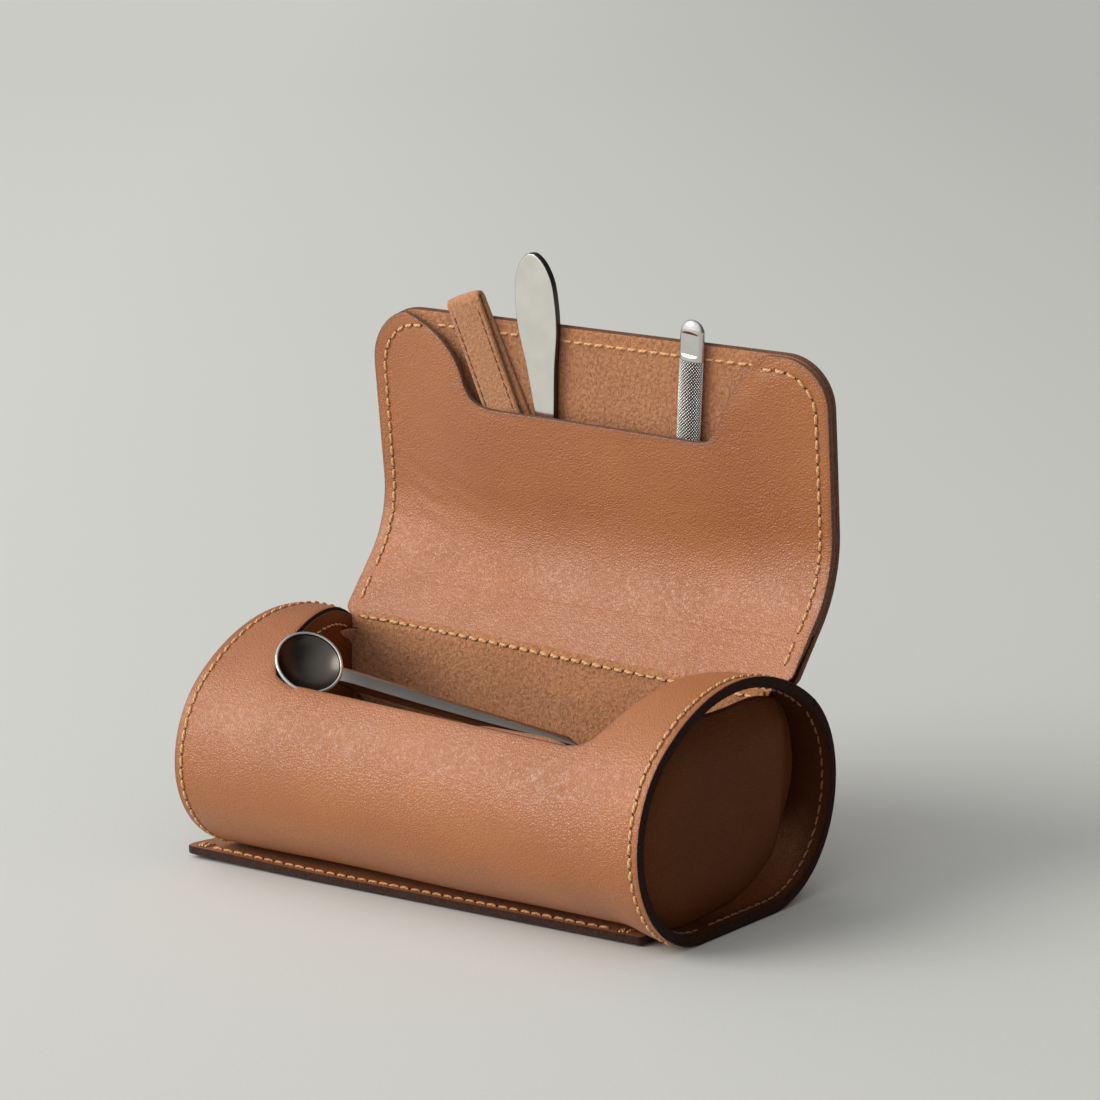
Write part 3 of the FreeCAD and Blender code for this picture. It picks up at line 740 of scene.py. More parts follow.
# Barrel, in one closed ring: the front and top are one sheet, the back and base another

BARREL = Track(
    (HALF_DEPTH - WIDEST - BASE_RUN, 0),
    180,
    [
        (FRONT_RUN, 0),
        arc(WIDEST, -90),
        arc(SHOULDER, -SHOULDER_TURN),
        arc(CROWN, -2 * CROWN_HALF),
        arc(SHOULDER, -SHOULDER_TURN),
        arc(WIDEST, -90),
        (BASE_RUN, 0),
    ],
)
CROWN_WAY = BARREL.runs[3][0]
BACK_WAY = BARREL.runs[4][0]
CROWN_MIDDLE = (CROWN_WAY + BACK_WAY) / 2
RIM_INSET = 2.7
SHELL_EDGE = 0.75
SUNK = 0.15


def crown_way(y):
    """How far along the barrel's track the crown is at a given Y."""
    return CROWN_WAY + CROWN * (np.arcsin(y / CROWN) + math.radians(CROWN_HALF))


def flare(u, v):
    """The barrel's stiff ends stand a little prouder than its middle."""
    top = 1.3 * ease(38, HALF_LENGTH, np.abs(u)) * np.exp(-(((v - CROWN_MIDDLE) / 34) ** 2))
    shoulder = 1.2 * ease(56, HALF_LENGTH, u) * np.exp(-(((v - BACK_WAY - 5) / 20) ** 2))
    return top + shoulder


def barrel_place(u, v, h):
    """The front stands on the base's sheet; at the right end it comes down to the base's own rim."""
    points = BARREL.place(u, v, h + flare(u, v))
    stands = np.where(np.asarray(v) < CROWN_WAY, WALL / WIDEST, 0)
    stands = stands * ease(HALF_LENGTH - 3, HALF_LENGTH - 16, u)
    points[..., 2] += np.maximum(WIDEST - points[..., 2], 0) * stands
    return points


# Window's edge as (X, Y) on the barrel's top, from the hinge's left end round the front to its right end
WINDOW_LEFT = [(-70.5, 24.6), (-66.6, 14.5), (-62.6, 4.0), (-59.2, -7.0), (-56.2, -18.0), (-53.4, -26.4)]
WINDOW_FRONT_LEFT = [(-51.0, -30.2), (-46.5, -32.0)]
WINDOW_FRONT_RIGHT = [(46.0, -34.8), (50.8, -33.6), (53.6, -29.4)]
WINDOW_RIGHT = [(55.6, -22.5), (57.4, -15.0), (59.0, -7.0), (61.4, 2.0), (65.6, 13.5), (70.5, 24.6)]


def window_line():
    """The window's edge in the flat of the shell."""
    corners = (WINDOW_LEFT + WINDOW_FRONT_LEFT, WINDOW_FRONT_RIGHT + WINDOW_RIGHT)
    sides = [curve_through(points) for points in corners]
    return np.vstack([np.stack([side[:, 0], crown_way(side[:, 1])], axis=1) for side in sides])


def softly(u, v):
    """Slight unevenness of a hand-bent hide."""
    return 0.16 * np.sin(u / 17 + 0.6) * np.sin(v / 23 + 1.1) + 0.1 * np.sin(u / 9.5 + v / 13)


def shell_relief(u, v):
    return softly(u, v) * ease(0, 8, v) * ease(BACK_WAY, BACK_WAY - 8, v)


def shell_seam(u, v):
    return shell_relief(u, v) - SUNK


window = spaced(window_line(), 1.0, closed=True)


def shell_back(u, v):
    """The shell's inner face; the leather is pared thinner towards the window."""
    return -WALL + 1.5 * ease(5, 0.6, gap_to(window, u, v))


def rim_line(side, start, end):
    return np.array([(side * (HALF_LENGTH - RIM_INSET), v) for v in np.linspace(start, end, 60)])


def inside_row(name, line, seed):
    """A seam's thread on the barrel's inner face, in the darker thread: painted shade inside the barrel."""
    look = {"side": -1, "thread": 0.3, "materials": [DARK_AND_SHADED_THREAD, HOLE_SHADE]}
    return stitch_row(name, line, barrel_place, -WALL, seed=seed, **look)


def ring_outline(start, end):
    """A stretch of the barrel in the flat, long enough for its joints to close."""
    low, high = start - SHELL_EDGE, end + SHELL_EDGE
    return np.array(both_sides([(HALF_LENGTH, low), (HALF_LENGTH, high)]))


FIRST_STITCH = FRONT_RUN + 9.0
barrel_end = BARREL.length
rim_lines = [rim_line(side, FIRST_STITCH, BACK_WAY - 0.2) for side in (-1, 1)]
shell = cut_sheet(
    "front_shell_leather", ring_outline(0, BACK_WAY), barrel_place, shell_back, 0,
    [TAN, RAW_EDGE, INNER], holes=[window], edge=SHELL_EDGE, seams=rim_lines, relief=shell_relief,
    joints=(-SHELL_EDGE, BACK_WAY + SHELL_EDGE),
)
shell_trim = []
for word, line, slant, seed in (("left", rim_lines[0], 4, 11), ("right", rim_lines[1], -4, 12)):
    inside_line = np.vstack([[(line[0, 0], 1.0)], line])
    shell_trim += [
        stitch_row(f"rim_stitches_{word}", line, barrel_place, shell_seam, slant=slant, seed=seed),
        inside_row(f"rim_stitches_inside_{word}", inside_line, seed + 2),
    ]
dress(shell, shell_trim, "front_shell")

back_lines = [rim_line(side, BACK_WAY + 0.2, barrel_end - BASE_RUN - 9) for side in (-1, 1)]
back = cut_sheet(
    "back_panel_leather", ring_outline(BACK_WAY, barrel_end), barrel_place, -WALL, 0,
    [TAN, RAW_EDGE, INNER], cell=2.0, edge=SHELL_EDGE, seams=back_lines,
    joints=(BACK_WAY - SHELL_EDGE, barrel_end + SHELL_EDGE),
)
back_trim = []
for word, line, seed in (("left", back_lines[0], 21), ("right", back_lines[1], 22)):
    inside_line = np.vstack([line, [(line[-1, 0], barrel_end - 1.0)]])
    back_trim += [
        stitch_row(f"back_stitches_{word}", line, barrel_place, -0.2, seed=seed),
        inside_row(f"back_stitches_inside_{word}", inside_line, seed + 5),
    ]
dress(back, back_trim, "back_panel")


# Strip at the foot, whose left end curls up

STRIP_LEFT = -82.0
STRIP_RIGHT = 64.0
STRIP_FRONT_LEFT = -33.0
STRIP_FRONT_RIGHT = -27.6
STRIP_BACK = -14.0
STRIP_EDGE = 0.45


def strip_lip(v):
    return 0.4 * ease(-19, -28, v)


def strip_bottom(u, v):
    """The front lip stands a little off the floor, more so at its left end."""
    return strip_lip(v) + 0.8 * ease(-35, STRIP_LEFT, u) * ease(-17, -30, v)


def strip_top(u, v):
    return strip_bottom(u, v) + WALL - strip_lip(v) - 0.35


strip_corners = [
    (STRIP_LEFT, STRIP_FRONT_LEFT),
    (STRIP_RIGHT, STRIP_FRONT_RIGHT),
    (STRIP_RIGHT, STRIP_BACK),
    (STRIP_LEFT, STRIP_BACK),
]
strip_ends = [(STRIP_LEFT + 4, STRIP_FRONT_LEFT + 2.4), (STRIP_RIGHT - 6, STRIP_FRONT_RIGHT + 1.8)]
strip_line = spaced(strip_ends, 1.0)
strip = cut_sheet(
    "foot_strip_leather", rounded(strip_corners, [2.2, 1.0, 1.0, 2.5]), as_points, strip_bottom, strip_top,
    [TAN, FOOT_EDGE, INNER], edge=STRIP_EDGE, cell=1.2, seams=[strip_line], groove=0.12,
)
strip_trim = [
    stitch_row("foot_stitches", strip_line[2:-3], as_points, strip_top, thread=0.34, slant=6, seed=31)
]
strip_trim += knot("foot_knot_left", strip_line[0] + (0.4, 0.3), as_points, strip_top, 32)
strip_trim += knot("foot_knot_right", strip_line[-1] - (0.4, 0), as_points, strip_top, 36)
dress(strip, strip_trim, "foot_strip")


# Lid's own lines

FLAP_RUN = 60
LID_RUNS = [(LID_STRAIGHT, 0), arc(LID_RADIUS, LID_TURN), (FLAP_RUN, 0)]
LID = Track((HINGE_Y, HINGE_Z), LID_HEADING, LID_RUNS)
BEND = LID.runs[2][0]
BEND_STRETCH = (BEND - 8, BEND + 7)
TAIL_FOLD = (56.6, 59.6)
FACING_FOLD = (58.6, 62.5)
TAIL_RADIUS = 1.2
FOLD_RADIUS = 1.6
TAIL_TURN = 25.0
HINGE_ANGLE = math.degrees(math.atan2(HINGE_Y, HINGE_Z - CROWN_Z))
FOLD_TURN = 180 - HINGE_ANGLE - LID_HEADING
FOLD_REACH = FOLD_RADIUS * math.tan(math.radians(FOLD_TURN / 2))
tail_crown = math.radians(CROWN_HALF - HINGE_ANGLE) * (CROWN + TAIL_RADIUS) - FOLD_REACH
lid_entry = [float(x) for x in LID.at(FOLD_REACH)[:2]]
TAIL_RUNS = [
    arc(SHOULDER + TAIL_RADIUS, TAIL_TURN),
    (tail_crown, math.degrees(tail_crown / (CROWN + TAIL_RADIUS))),
    arc(FOLD_RADIUS, -FOLD_TURN + 0.8),
]
TAIL = ending_at(lid_entry, LID_HEADING - sum(run[1] for run in TAIL_RUNS), TAIL_RUNS)


def lid_u(u, v):
    """The lid stands a little to the right of its foot and widens towards its top."""
    return u + (LID_SHIFT + LID_SPREAD * np.asarray(u) / LID_HALF) * ease(0, 95, v)


def lid_place(u, v, h):
    return LID.place(lid_u(u, v), v, h)


def tail_place(u, v, h):
    """The lid's outer leather from its sewn-down end over the fold; v is the lid's own."""
    folded = TAIL.place(u, v + TAIL.length - FOLD_REACH, h)
    straight = lid_place(u, v, h)
    return np.where((np.asarray(v) < FOLD_REACH)[:, None], folded, straight)


def lid_blend(piece):
    """Leather across the lid's bend, with its placement baked into its mesh."""
    start, end = (lid_place(np.zeros(1), np.array([v]), 1.5)[0] * MM for v in BEND_STRETCH)
    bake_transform(piece)


def hinge_blend(piece, low, high):
    """Leather at the hinge line, with its placement baked into its mesh; the two heights it is given are
    not used.
    """
    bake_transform(piece)


def lid_outline(low, inset=0.0):
    """The lid above a height, in the flat."""
    side = LID_HALF - inset
    top_left, top_right = BEND + LID_TOP_LEFT - inset, BEND + LID_TOP_RIGHT - inset
    corners = [(-side, low), (side, low), (side, top_right), (-side, top_left)]
    return rounded(corners, [0.2, 0.2, 13.5 - inset * 0.6, 16.0 - inset * 0.6])


OUTER_EDGE = 0.8
TAIL_HALF = 66.0
tail_low = FOLD_REACH - TAIL.length
tail_corners = both_sides(
    [(TAIL_HALF, tail_low), (TAIL_HALF + 3, -3.5), (LID_HALF, 1.5), (LID_HALF, SPLIT + OUTER_EDGE)]
)
outer_low = cut_sheet(
    "lid_outer_tail", rounded(tail_corners, [4, 4, 3, 3, 0.2, 0.2, 3, 3]), tail_place,
    -OUTER_HALF, OUTER_HALF, [INNER, CUT_EDGE, TAN], edge=OUTER_EDGE, cell=1.3, joints=[SPLIT + OUTER_EDGE],
)
tail_line = spaced([(4 - TAIL_HALF, tail_low + 4), (TAIL_HALF - 4, tail_low + 4)], 1.0)
tail_trim = stitch_row("tail_stitches", tail_line, tail_place, -OUTER_HALF, side=-1, seed=41)
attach(tail_trim, "case")
hinge_blend(outer_low, *TAIL_FOLD)
outer = cut_sheet(
    "lid_outer_leather", lid_outline(SPLIT - OUTER_EDGE), lid_place, -OUTER_HALF, OUTER_HALF,
    [INNER, CUT_EDGE, TAN], edge=OUTER_EDGE, cell=1.6, joints=[SPLIT - OUTER_EDGE],
)
lid_blend(outer)
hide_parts("lid_tail", "lid_outer_lower")
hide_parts("lid_outer_upper")

LINING_LOW = 14.0
lining = cut_sheet(
    "lid_lining_suede", lid_outline(LINING_LOW, 0.1), lid_place, OUTER_HALF + 0.02, LINING_FACE,
    [SUEDE, CUT_EDGE, SUEDE], edge=0.3, cell=1.6,
)
lid_blend(lining)
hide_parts("lid_lining_lower", "lid_lining_upper")


# Lid's front panel with the pocket's mouth, whose points are (across, above the bend)

MOUTH_LEFT = [
    (-66.0, 48.6), (-62.0, 48.2), (-57.6, 46.9), (-53.9, 45.3), (-48.8, 42.4), (-44.2, 38.0), (-41.6, 33.4),
    (-40.2, 29.0), (-37.8, 25.6), (-34.0, 24.0),
]
MOUTH_FLOOR = [(-28.0, 23.5), (-10.0, 23.1), (10.0, 22.5), (28.0, 21.9), (34.5, 21.7)]
MOUTH_RIGHT = [
    (37.6, 22.0), (39.4, 23.6), (41.6, 27.4), (43.4, 31.6), (45.1, 34.9), (47.3, 38.3), (49.6, 41.6),
    (52.3, 44.1), (55.9, 46.2), (59.5, 47.6),
]
PANEL_EDGE = 0.4
mouth_line = curve_through(MOUTH_LEFT + MOUTH_FLOOR + MOUTH_RIGHT) + (0, BEND)


def pocket_rise(u, v):
    """How far the front panel stands off the lining over the tools."""
    return POCKET_RISE * ease(BEND - 31, BEND + 1, v) * ease(72, 32, np.abs(u))


def panel_face(u, v):
    """The panel's front; its upper right edge is pared thin and lies flush with the lining."""
    pared = ease(41, 44, u) * ease(BEND + 31, BEND + 38, v)
    pared = pared * ease(7, 0.8, gap_to(mouth_line, u, v))
    return LINING_FACE + PANEL - 0.55 * pared + pocket_rise(u, v)


def panel_back(u, v):
    return LINING_FACE + pocket_rise(u, v)


def panel_creases(u, v):
    """Soft creases where the hide bends, mostly at the left."""
    deep = ease(-20, -60, u) * ease(12, 26, v) * ease(60, 44, v)
    waves = 0.14 * deep * np.sin(v * 0.9 + u * 0.35) * np.sin(u / 5 + v / 11)
    return softly(u, v) * ease(SPLIT, SPLIT + 8, v) + waves


def panel_outline():
    """The panel in the flat: the lid's outline with the mouth taken out of its top."""
    whole = lid_outline(SPLIT - PANEL_EDGE, 0.15)
    mouth = mouth_line[inside(mouth_line, [whole])]
    left, right = mouth[0, 0], mouth[-1, 0]
    high = whole[:, 1] > BEND + 30
    ring = whole[~(high & (whole[:, 0] > left) & (whole[:, 0] < right))]
    start = int(np.argmin(np.abs(ring[:, 0] - left) + np.abs(ring[:, 1] - mouth[0, 1])))
    return np.vstack([np.roll(ring, -start, axis=0), mouth[::-1]])


def perimeter(inset, low, left_end, right_end):
    """The stitch line inside the lid's edge: left side, top and right side as three lines."""
    whole = spaced(lid_outline(0.0, inset), 0.5, closed=True)
    u, v = whole.T
    lines = []
    for keep in (
        (u < left_end) & (v > low),
        (u >= left_end) & (u <= right_end) & (v > BEND + 20),
        (u > right_end) & (v > low),
    ):
        line = whole[keep]
        gaps = np.linalg.norm(np.diff(np.vstack([line, line[:1]]), axis=0), axis=1)
        lines.append(np.roll(line, -(int(np.argmax(gaps)) + 1), axis=0))
    return lines


LID_STITCH_INSET = 3.9
left_line, top_line, right_line = perimeter(LID_STITCH_INSET, low=3.0, left_end=-52.0, right_end=53.0)
panel = cut_sheet(
    "lid_pocket_leather", panel_outline(), lid_place, panel_back, panel_face, [TAN, CUT_EDGE, SUEDE],
    edge=PANEL_EDGE, cell=1.4, relief=panel_creases, joints=[SPLIT - PANEL_EDGE],
    seams=[line[line[:, 1] > SPLIT] for line in (left_line, right_line)],
)
lid_blend(panel)

# The same leather below, over the hinge and down behind the suede
FACING_EDGE = 0.3
FACING_TURN = 90 - LID_HEADING
FACING_RUNS = [(5.0, 0), arc(4.0, -FACING_TURN), (13.61, 0)]
panel_foot = lid_place(np.zeros(1), np.array([SPLIT]), LINING_FACE + PANEL)[0, 1:]
FACING = ending_at(panel_foot, 90, FACING_RUNS)
FACING_FOOT = FACING.length - SPLIT


def facing_place(u, v, h):
    """v is the lid's own, so that the facing meets the panel at the split."""
    return FACING.place(lid_u(u, np.maximum(v, 0)), v + FACING_FOOT, h)


def facing_back(u, v):
    return -0.6 - 0.8 * ease(2, SPLIT, v)


FACING_HALF = LID_HALF - 0.15
FACING_LOW_HALF = 66.0
facing_corners = both_sides(
    [
        (FACING_LOW_HALF, -FACING_FOOT),
        (FACING_LOW_HALF + 2, -4.0),
        (FACING_HALF, 1.0),
        (FACING_HALF, SPLIT + FACING_EDGE),
    ]
)
facing = cut_sheet(
    "lid_pocket_foot", rounded(facing_corners, [0.8, 0.8, 2, 2, 0.2, 0.2, 2, 2]), facing_place,
    facing_back, 0, [TAN, CUT_EDGE, SUEDE], edge=FACING_EDGE, cell=1.2, joints=[SPLIT + FACING_EDGE],
    seams=[line[line[:, 1] < SPLIT] for line in (left_line, right_line)],
)
hinge_blend(facing, *FACING_FOLD)
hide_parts("lid_pocket_lower")
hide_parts("lid_pocket_upper")


def panel_seam(u, v):
    return panel_face(u, v) + panel_creases(u, v) - SUNK


for word, line, slant, seed in (("left", left_line, 4, 51), ("right", right_line, -4, 52)):
    upper = line[line[:, 1] > SPLIT + 0.1]
    row = stitch_row(f"lid_stitches_{word}", upper, lid_place, panel_seam, slant=slant, seed=seed)
    lid_blend(row)
    lower = line[line[:, 1] < SPLIT - 0.1]
    foot = stitch_row(f"lid_stitches_foot_{word}", lower, facing_place, -0.2, slant=slant, seed=seed + 5)
    hinge_blend(foot, *FACING_FOLD)
top_row = stitch_row("lid_stitches_top", top_line, lid_place, LINING_FACE - 0.05, slant=4, seed=53)
lid_blend(top_row)


# Suede pouch, from its front edge round the floor and up to the raw edge at the hinge

POUCH_OUT = 3.3
POUCH_SHEET = 1.1
SHOULDER_IN = SHOULDER - POUCH_OUT
FRONT_IN = WIDEST - WALL - POUCH_OUT
POUCH_FLOOR = 2 * WALL + 0.3
POUCH_LIP = 49.0
POUCH_HALF = 66.6
BACK_WALL_Y = 36.0
BACK_ROUND = 12.0
LEAN = math.radians(45)
LEAN_ARC = 5.0
LEAN_RADIUS = LEAN_ARC / LEAN
lip_angle = math.degrees(math.asin((POUCH_LIP - WIDEST) / SHOULDER_IN))
hem_y, hem_z = (float(x) for x in FACING.at(0.0)[:2])
lean_run = (BACK_WALL_Y - 2 * LEAN_RADIUS * (1 - math.cos(LEAN)) - hem_y + 0.05) / math.sin(LEAN)
lean_rise = 2 * LEAN_RADIUS * math.sin(LEAN) + lean_run * math.cos(LEAN)
upright = hem_z - (POUCH_FLOOR + BACK_ROUND + lean_rise)
POUCH = Track(
    (SHOULDER - HALF_DEPTH - SHOULDER_IN * math.cos(math.radians(lip_angle)), POUCH_LIP),
    270 - lip_angle,
    [
        arc(SHOULDER_IN, lip_angle),
        arc(FRONT_IN, 90),
        (BACK_WALL_Y - BACK_ROUND - FRONT_IN + HALF_DEPTH - POUCH_OUT, 0),
        arc(BACK_ROUND, 90),
        (LEAN_ARC, math.degrees(LEAN)),
        (lean_run, 0),
        (LEAN_ARC, -math.degrees(LEAN)),
        (upright + FACING_RUNS[0][0], 0),
        arc(4.05, -FACING_TURN),
        (6.0, 0),
    ],
)
HEM_WAY = POUCH.runs[7][0] + upright


def hem_top(u):
    """Where the suede's raw edge lies at the hinge, lower towards the right."""
    return HEM_WAY + 9.6 - 4.0 * ease(-80, 80, u)


def pouch_thick(u, v):
    return POUCH_SHEET - 0.45 * ease(HEM_WAY - 4, HEM_WAY + 6, v)


def pouch_waves(u, v):
    """The soft wall is not flat."""
    wall = ease(HEM_WAY - 30, HEM_WAY - 14, v) * ease(HEM_WAY + 3, HEM_WAY - 6, v)
    return wall * (0.5 * np.sin(u / 14 + 1) + 0.3 * np.sin(u / 6.2 + v / 8))


def pouch_half(v):
    """Half the sheet's width, less where the end panels stand before it."""
    return POUCH_HALF - 11 * ease(3, 12, v) * ease(HEM_WAY - 13, HEM_WAY - 22, v)


LIP_RISE = 2.7
POUCH_LEFT = 3.0
across = np.linspace(-POUCH_HALF, POUCH_HALF, 80)
lip_edge = np.stack([across, -LIP_RISE * ease(2, 20, across) * ease(50, 36, across)], axis=1)
ragged = 0.12 * np.sin(across * 1.7) + 0.1 * np.sin(across * 4.1)
hem_u = across - POUCH_LEFT * ease(0, -POUCH_HALF, across)
hem_edge = np.stack([hem_u, hem_top(hem_u) + ragged], axis=1)
up_side = np.linspace(1, HEM_WAY, 60)
right_edge = np.stack([pouch_half(up_side), up_side], axis=1)
left_half = pouch_half(up_side) + POUCH_LEFT * ease(HEM_WAY - 15, HEM_WAY - 8, up_side)
left_edge = np.stack([-left_half, up_side], axis=1)
pouch_outline = np.vstack([lip_edge, right_edge, hem_edge[::-1], left_edge[::-1]])
pouch = cut_sheet(
    "pouch_suede", pouch_outline, POUCH.place, 0, pouch_thick, [SUEDE, SUEDE, TAN],
    cell=1.6, edge=0.25, relief=pouch_waves,
)
HEM_ENDS = (-68.4, 65.6)
HEM_INSET = 1.9
hem_line = np.array([(u, hem_top(u) - HEM_INSET) for u in np.linspace(*HEM_ENDS, 90)])
hem_row = stitch_row("hem_stitches", hem_line, POUCH.place, pouch_thick, slant=-4, seed=61)
dress(pouch, [hem_row], "pouch_sheet")


# Left wall of the pouch, under the window's left edge

WALL_LOW = 12.0
DIVIDER_BACK = 1.4
DIVIDER_INSET = 1.2
divider_plan = curve_through([(-69.0, 22.8)] + WINDOW_LEFT[1:] + [(-50.6, -32.0)])
divider_way = along_line(divider_plan)


def divider_place(u, v, h):
    """u is the way along the window's edge from the back, v the height; h points into the pouch."""
    u = np.clip(u, 0, divider_way[-1])
    near = np.minimum(u, divider_way[-1] - 1.0)
    x, y = spot_on(divider_plan, divider_way, u).T
    step = spot_on(divider_plan, divider_way, near + 1.0) - spot_on(divider_plan, divider_way, near)
    ahead_x, ahead_y = step.T
    size = np.hypot(ahead_x, ahead_y)
    return as_points(x - DIVIDER_INSET - ahead_y / size * h, y + ahead_x / size * h, v)


def shell_above(x, y):
    """The barrel's outer face over a point of the plan."""
    y = np.clip(y, -33, 33)
    return CROWN_Z + np.sqrt(CROWN**2 - y**2) + flare(x, crown_way(y))


wall_u = np.linspace(0.3, divider_way[-1] - 0.3, 50)
wall_x, wall_y = spot_on(divider_plan, divider_way, wall_u).T
wall_top = np.stack([wall_u, shell_above(wall_x - DIVIDER_INSET, wall_y) - 1.0], axis=1)
wall_outline = np.vstack([[(wall_u[0], WALL_LOW), (wall_u[-1], WALL_LOW)], wall_top[::-1]])
divider = cut_sheet(
    "pouch_divider_leather", wall_outline, divider_place, 0, DIVIDER_BACK, [GUSSET, CUT_EDGE, INNER],
    cell=1.6, edge=0.4,
)
divider_row = stitch_row(
    "divider_stitches", wall_top[2:-2] - (0, 4.0), divider_place, DIVIDER_BACK, thread=0.3, seed=71
)
dress(divider, [divider_row], "pouch_divider")


# End panels, soft leather set back in the barrel's ends, as (Y, Z)

END_PLACE = 67.2
END_THICK = 1.4
END_OUTLINE = [
    (27.5, 54.2), (16.9, 56.2), (3.6, 55.6), (-7.0, 55.8), (-13.0, 56.0), (-20.0, 55.4), (-27.0, 52.0),
    (-33.0, 47.5), (-38.0, 41.5), (-40.9, 31.0), (-40.6, 24.0), (-38.0, 16.0), (-33.0, 10.8), (-26.0, 5.2),
    (-20.0, 3.6), (-14.0, 3.2), (-4.0, 3.8), (8.6, 5.6), (19.0, 9.5), (27.0, 14.7), (33.0, 23.0),
    (36.0, 33.0), (35.2, 41.0), (32.5, 50.0), (29.0, 53.6),
]


def end_shape(u, v):
    """The panel's face: a soft bulge, and a crease that turns the strip at the back away."""
    crease = -1.8 * ease(23.5, 32, u)
    pull = 0.4 * np.exp(-(((u - 23 + 0.12 * (v - 30)) / 1.6) ** 2)) * ease(12, 26, v)
    return crease + pull + 0.25 * np.sin(u / 8 + v / 12) - 1.2 * ease(44, 56, v)


for word, sign in (("right", 1), ("left", -1)):
    def end_place(u, v, h, sign=sign):
        return as_points(sign * (END_PLACE + h), sign * u, v)

    def end_back(u, v, sign=sign):
        return end_shape(sign * u, v)

    def end_face(u, v, sign=sign):
        return end_shape(sign * u, v) + END_THICK

    end_outline = curve_through(np.array(END_OUTLINE)[::-1] * (sign, 1), closed=True)
    end_panel = cut_sheet(
        f"end_panel_{word}_leather", end_outline, end_place, end_back, end_face, [BROWN, BROWN, SUEDE],
        edge=0.65, dome=(3.0, 14),
    )
    dress(end_panel, [], f"end_panel_{word}")


# Tools in the lid's pocket

POCKET_FLOOR = 6.2


def tool_place(at, foot, tilt):
    """Where a tool's own across, up and off lie on the flap; its foot stands on the pocket's floor."""
    cos, sin = math.cos(math.radians(tilt)), math.sin(math.radians(tilt))
    rise = POCKET_FLOOR + foot * abs(sin)

    def place(a, b, h):
        return LID.place(at + a * cos - b * sin, BEND + (rise + a * sin + b * cos), h)

    return place


# Spatula's half width by its height
SPATULA_HALVES = [
    (0.0, 2.9), (10.0, 3.0), (16.8, 3.25), (20.6, 3.64), (30.0, 4.7), (36.0, 5.75), (40.2, 6.4),
    (45.0, 6.68), (50.0, 6.55), (53.5, 6.15), (56.1, 5.35), (58.3, 4.25), (59.8, 3.1), (60.9, 1.8),
    (61.4, 0.7),
]
SPATULA_BACK = 2.4
SPATULA_FACE = 4.5
spatula_place = tool_place(at=-14.2, foot=3.0, tilt=0.3)
halves = curve_through(SPATULA_HALVES)[:, ::-1]
spatula_outline = np.vstack([halves, halves[::-1] * (-1, 1)])


def blade_crown(u, v):
    """The blade's face is very slightly domed across."""
    return 0.12 * (1 - (u / 6.7) ** 2)


# The blade's edges take the near-black steel: painted shade along its outline.
spatula = cut_sheet(
    "spatula_blade", spatula_outline, spatula_place, SPATULA_BACK, SPATULA_FACE,
    [SATIN, SHADED_STEEL, SATIN], cell=0.9, edge=0.4, relief=blade_crown,
)
settle([spatula], "spatula", "spatula")

# Knurled bar with a smooth domed tip that has one flat ground on its front
FILE_LENGTH = 47.4
FILE_TIP = 11.2
FILE_GRIP = FILE_LENGTH - FILE_TIP
FILE_MIDDLE = 3.5
GRIP_WIDE, GRIP_THICK = 3.4, 1.55
TIP_WIDE, TIP_THICK = 3.65, 1.75
TIP_ROUND = 3.7
TIP_CLEAR = TIP_THICK * 1.4
TIP_FLAT = 1.15
KNURL = 0.95
KNURL_TURNS = 24
KNURL_DEPTH = 0.34
FILE_AROUND = 168
FILE_STEP = 0.16
file_place = tool_place(at=29.6, foot=3.45, tilt=-7.4)
tip_steps = np.linspace(FILE_GRIP, FILE_LENGTH - 0.01, 70)
file_steps = np.concatenate([np.arange(0, FILE_GRIP, FILE_STEP), tip_steps])
file_angle = full_turn(FILE_AROUND)
file_points, file_flat, file_pits = [], [], []
for step in file_steps:
    tip = float(ease(FILE_GRIP - 0.1, FILE_GRIP + 0.4, step))
    dome = math.sqrt(max(1 - (1 - min((FILE_LENGTH - step) / TIP_ROUND, 1)) ** 2, 0.0001))
    phase = KNURL_TURNS * file_angle
    climb = 2 * math.pi * step / KNURL
    diamonds = np.abs(np.sin((phase + climb) / 2) * np.sin((phase - climb) / 2))
    relief = (1 - tip) * KNURL_DEPTH * (2 * diamonds - 1)
    wide = (GRIP_WIDE + (TIP_WIDE - GRIP_WIDE) * tip) * dome + relief
    thick = (GRIP_THICK + (TIP_THICK - GRIP_THICK) * tip) * dome + relief
    above = step - FILE_GRIP
    ground = float(ease(0.8, 2.0, above) * ease(9.6, 7.4, above))
    aside, off = wide * np.cos(file_angle), thick * np.sin(file_angle)
    off = np.minimum(off, TIP_CLEAR - (TIP_CLEAR - TIP_FLAT) * ground)
    level = np.full(FILE_AROUND, step)
    file_points.append(file_place(aside, level, FILE_MIDDLE + off))
    file_flat.append(np.stack([aside, level, off], axis=1))
    file_pits.append((1 - tip) * (1 - diamonds))


def tube_faces(first, rings, around):
    """Quads between rings of points, and a cap at either end."""
    faces = []
    for ring in range(rings - 1):
        near, far = first + ring * around, first + (ring + 1) * around
        for i in range(around):
            j = (i + 1) % around
            faces.append((near + i, near + j, far + j, far + i))
    faces.append(tuple(range(first, first + around))[::-1])
    faces.append(tuple(range(first + (rings - 1) * around, first + rings * around)))
    return faces


file_faces = [face[::-1] for face in tube_faces(0, len(file_steps), FILE_AROUND)]
grip_faces = int(np.sum(file_steps < FILE_GRIP)) * FILE_AROUND
file_kinds = [0 if number < grip_faces else 1 for number in range(len(file_faces))]
knurled = make_object(
    "knurled_file_bar", np.vstack(file_points), file_faces, [KNURLED, POLISHED_AND_HIGHLIGHT], file_kinds,
    {"flat": np.vstack(file_flat) * MM, "pit": np.concatenate(file_pits)},
)
settle([knurled], "file", "knurled_file")


# Folded suede strap

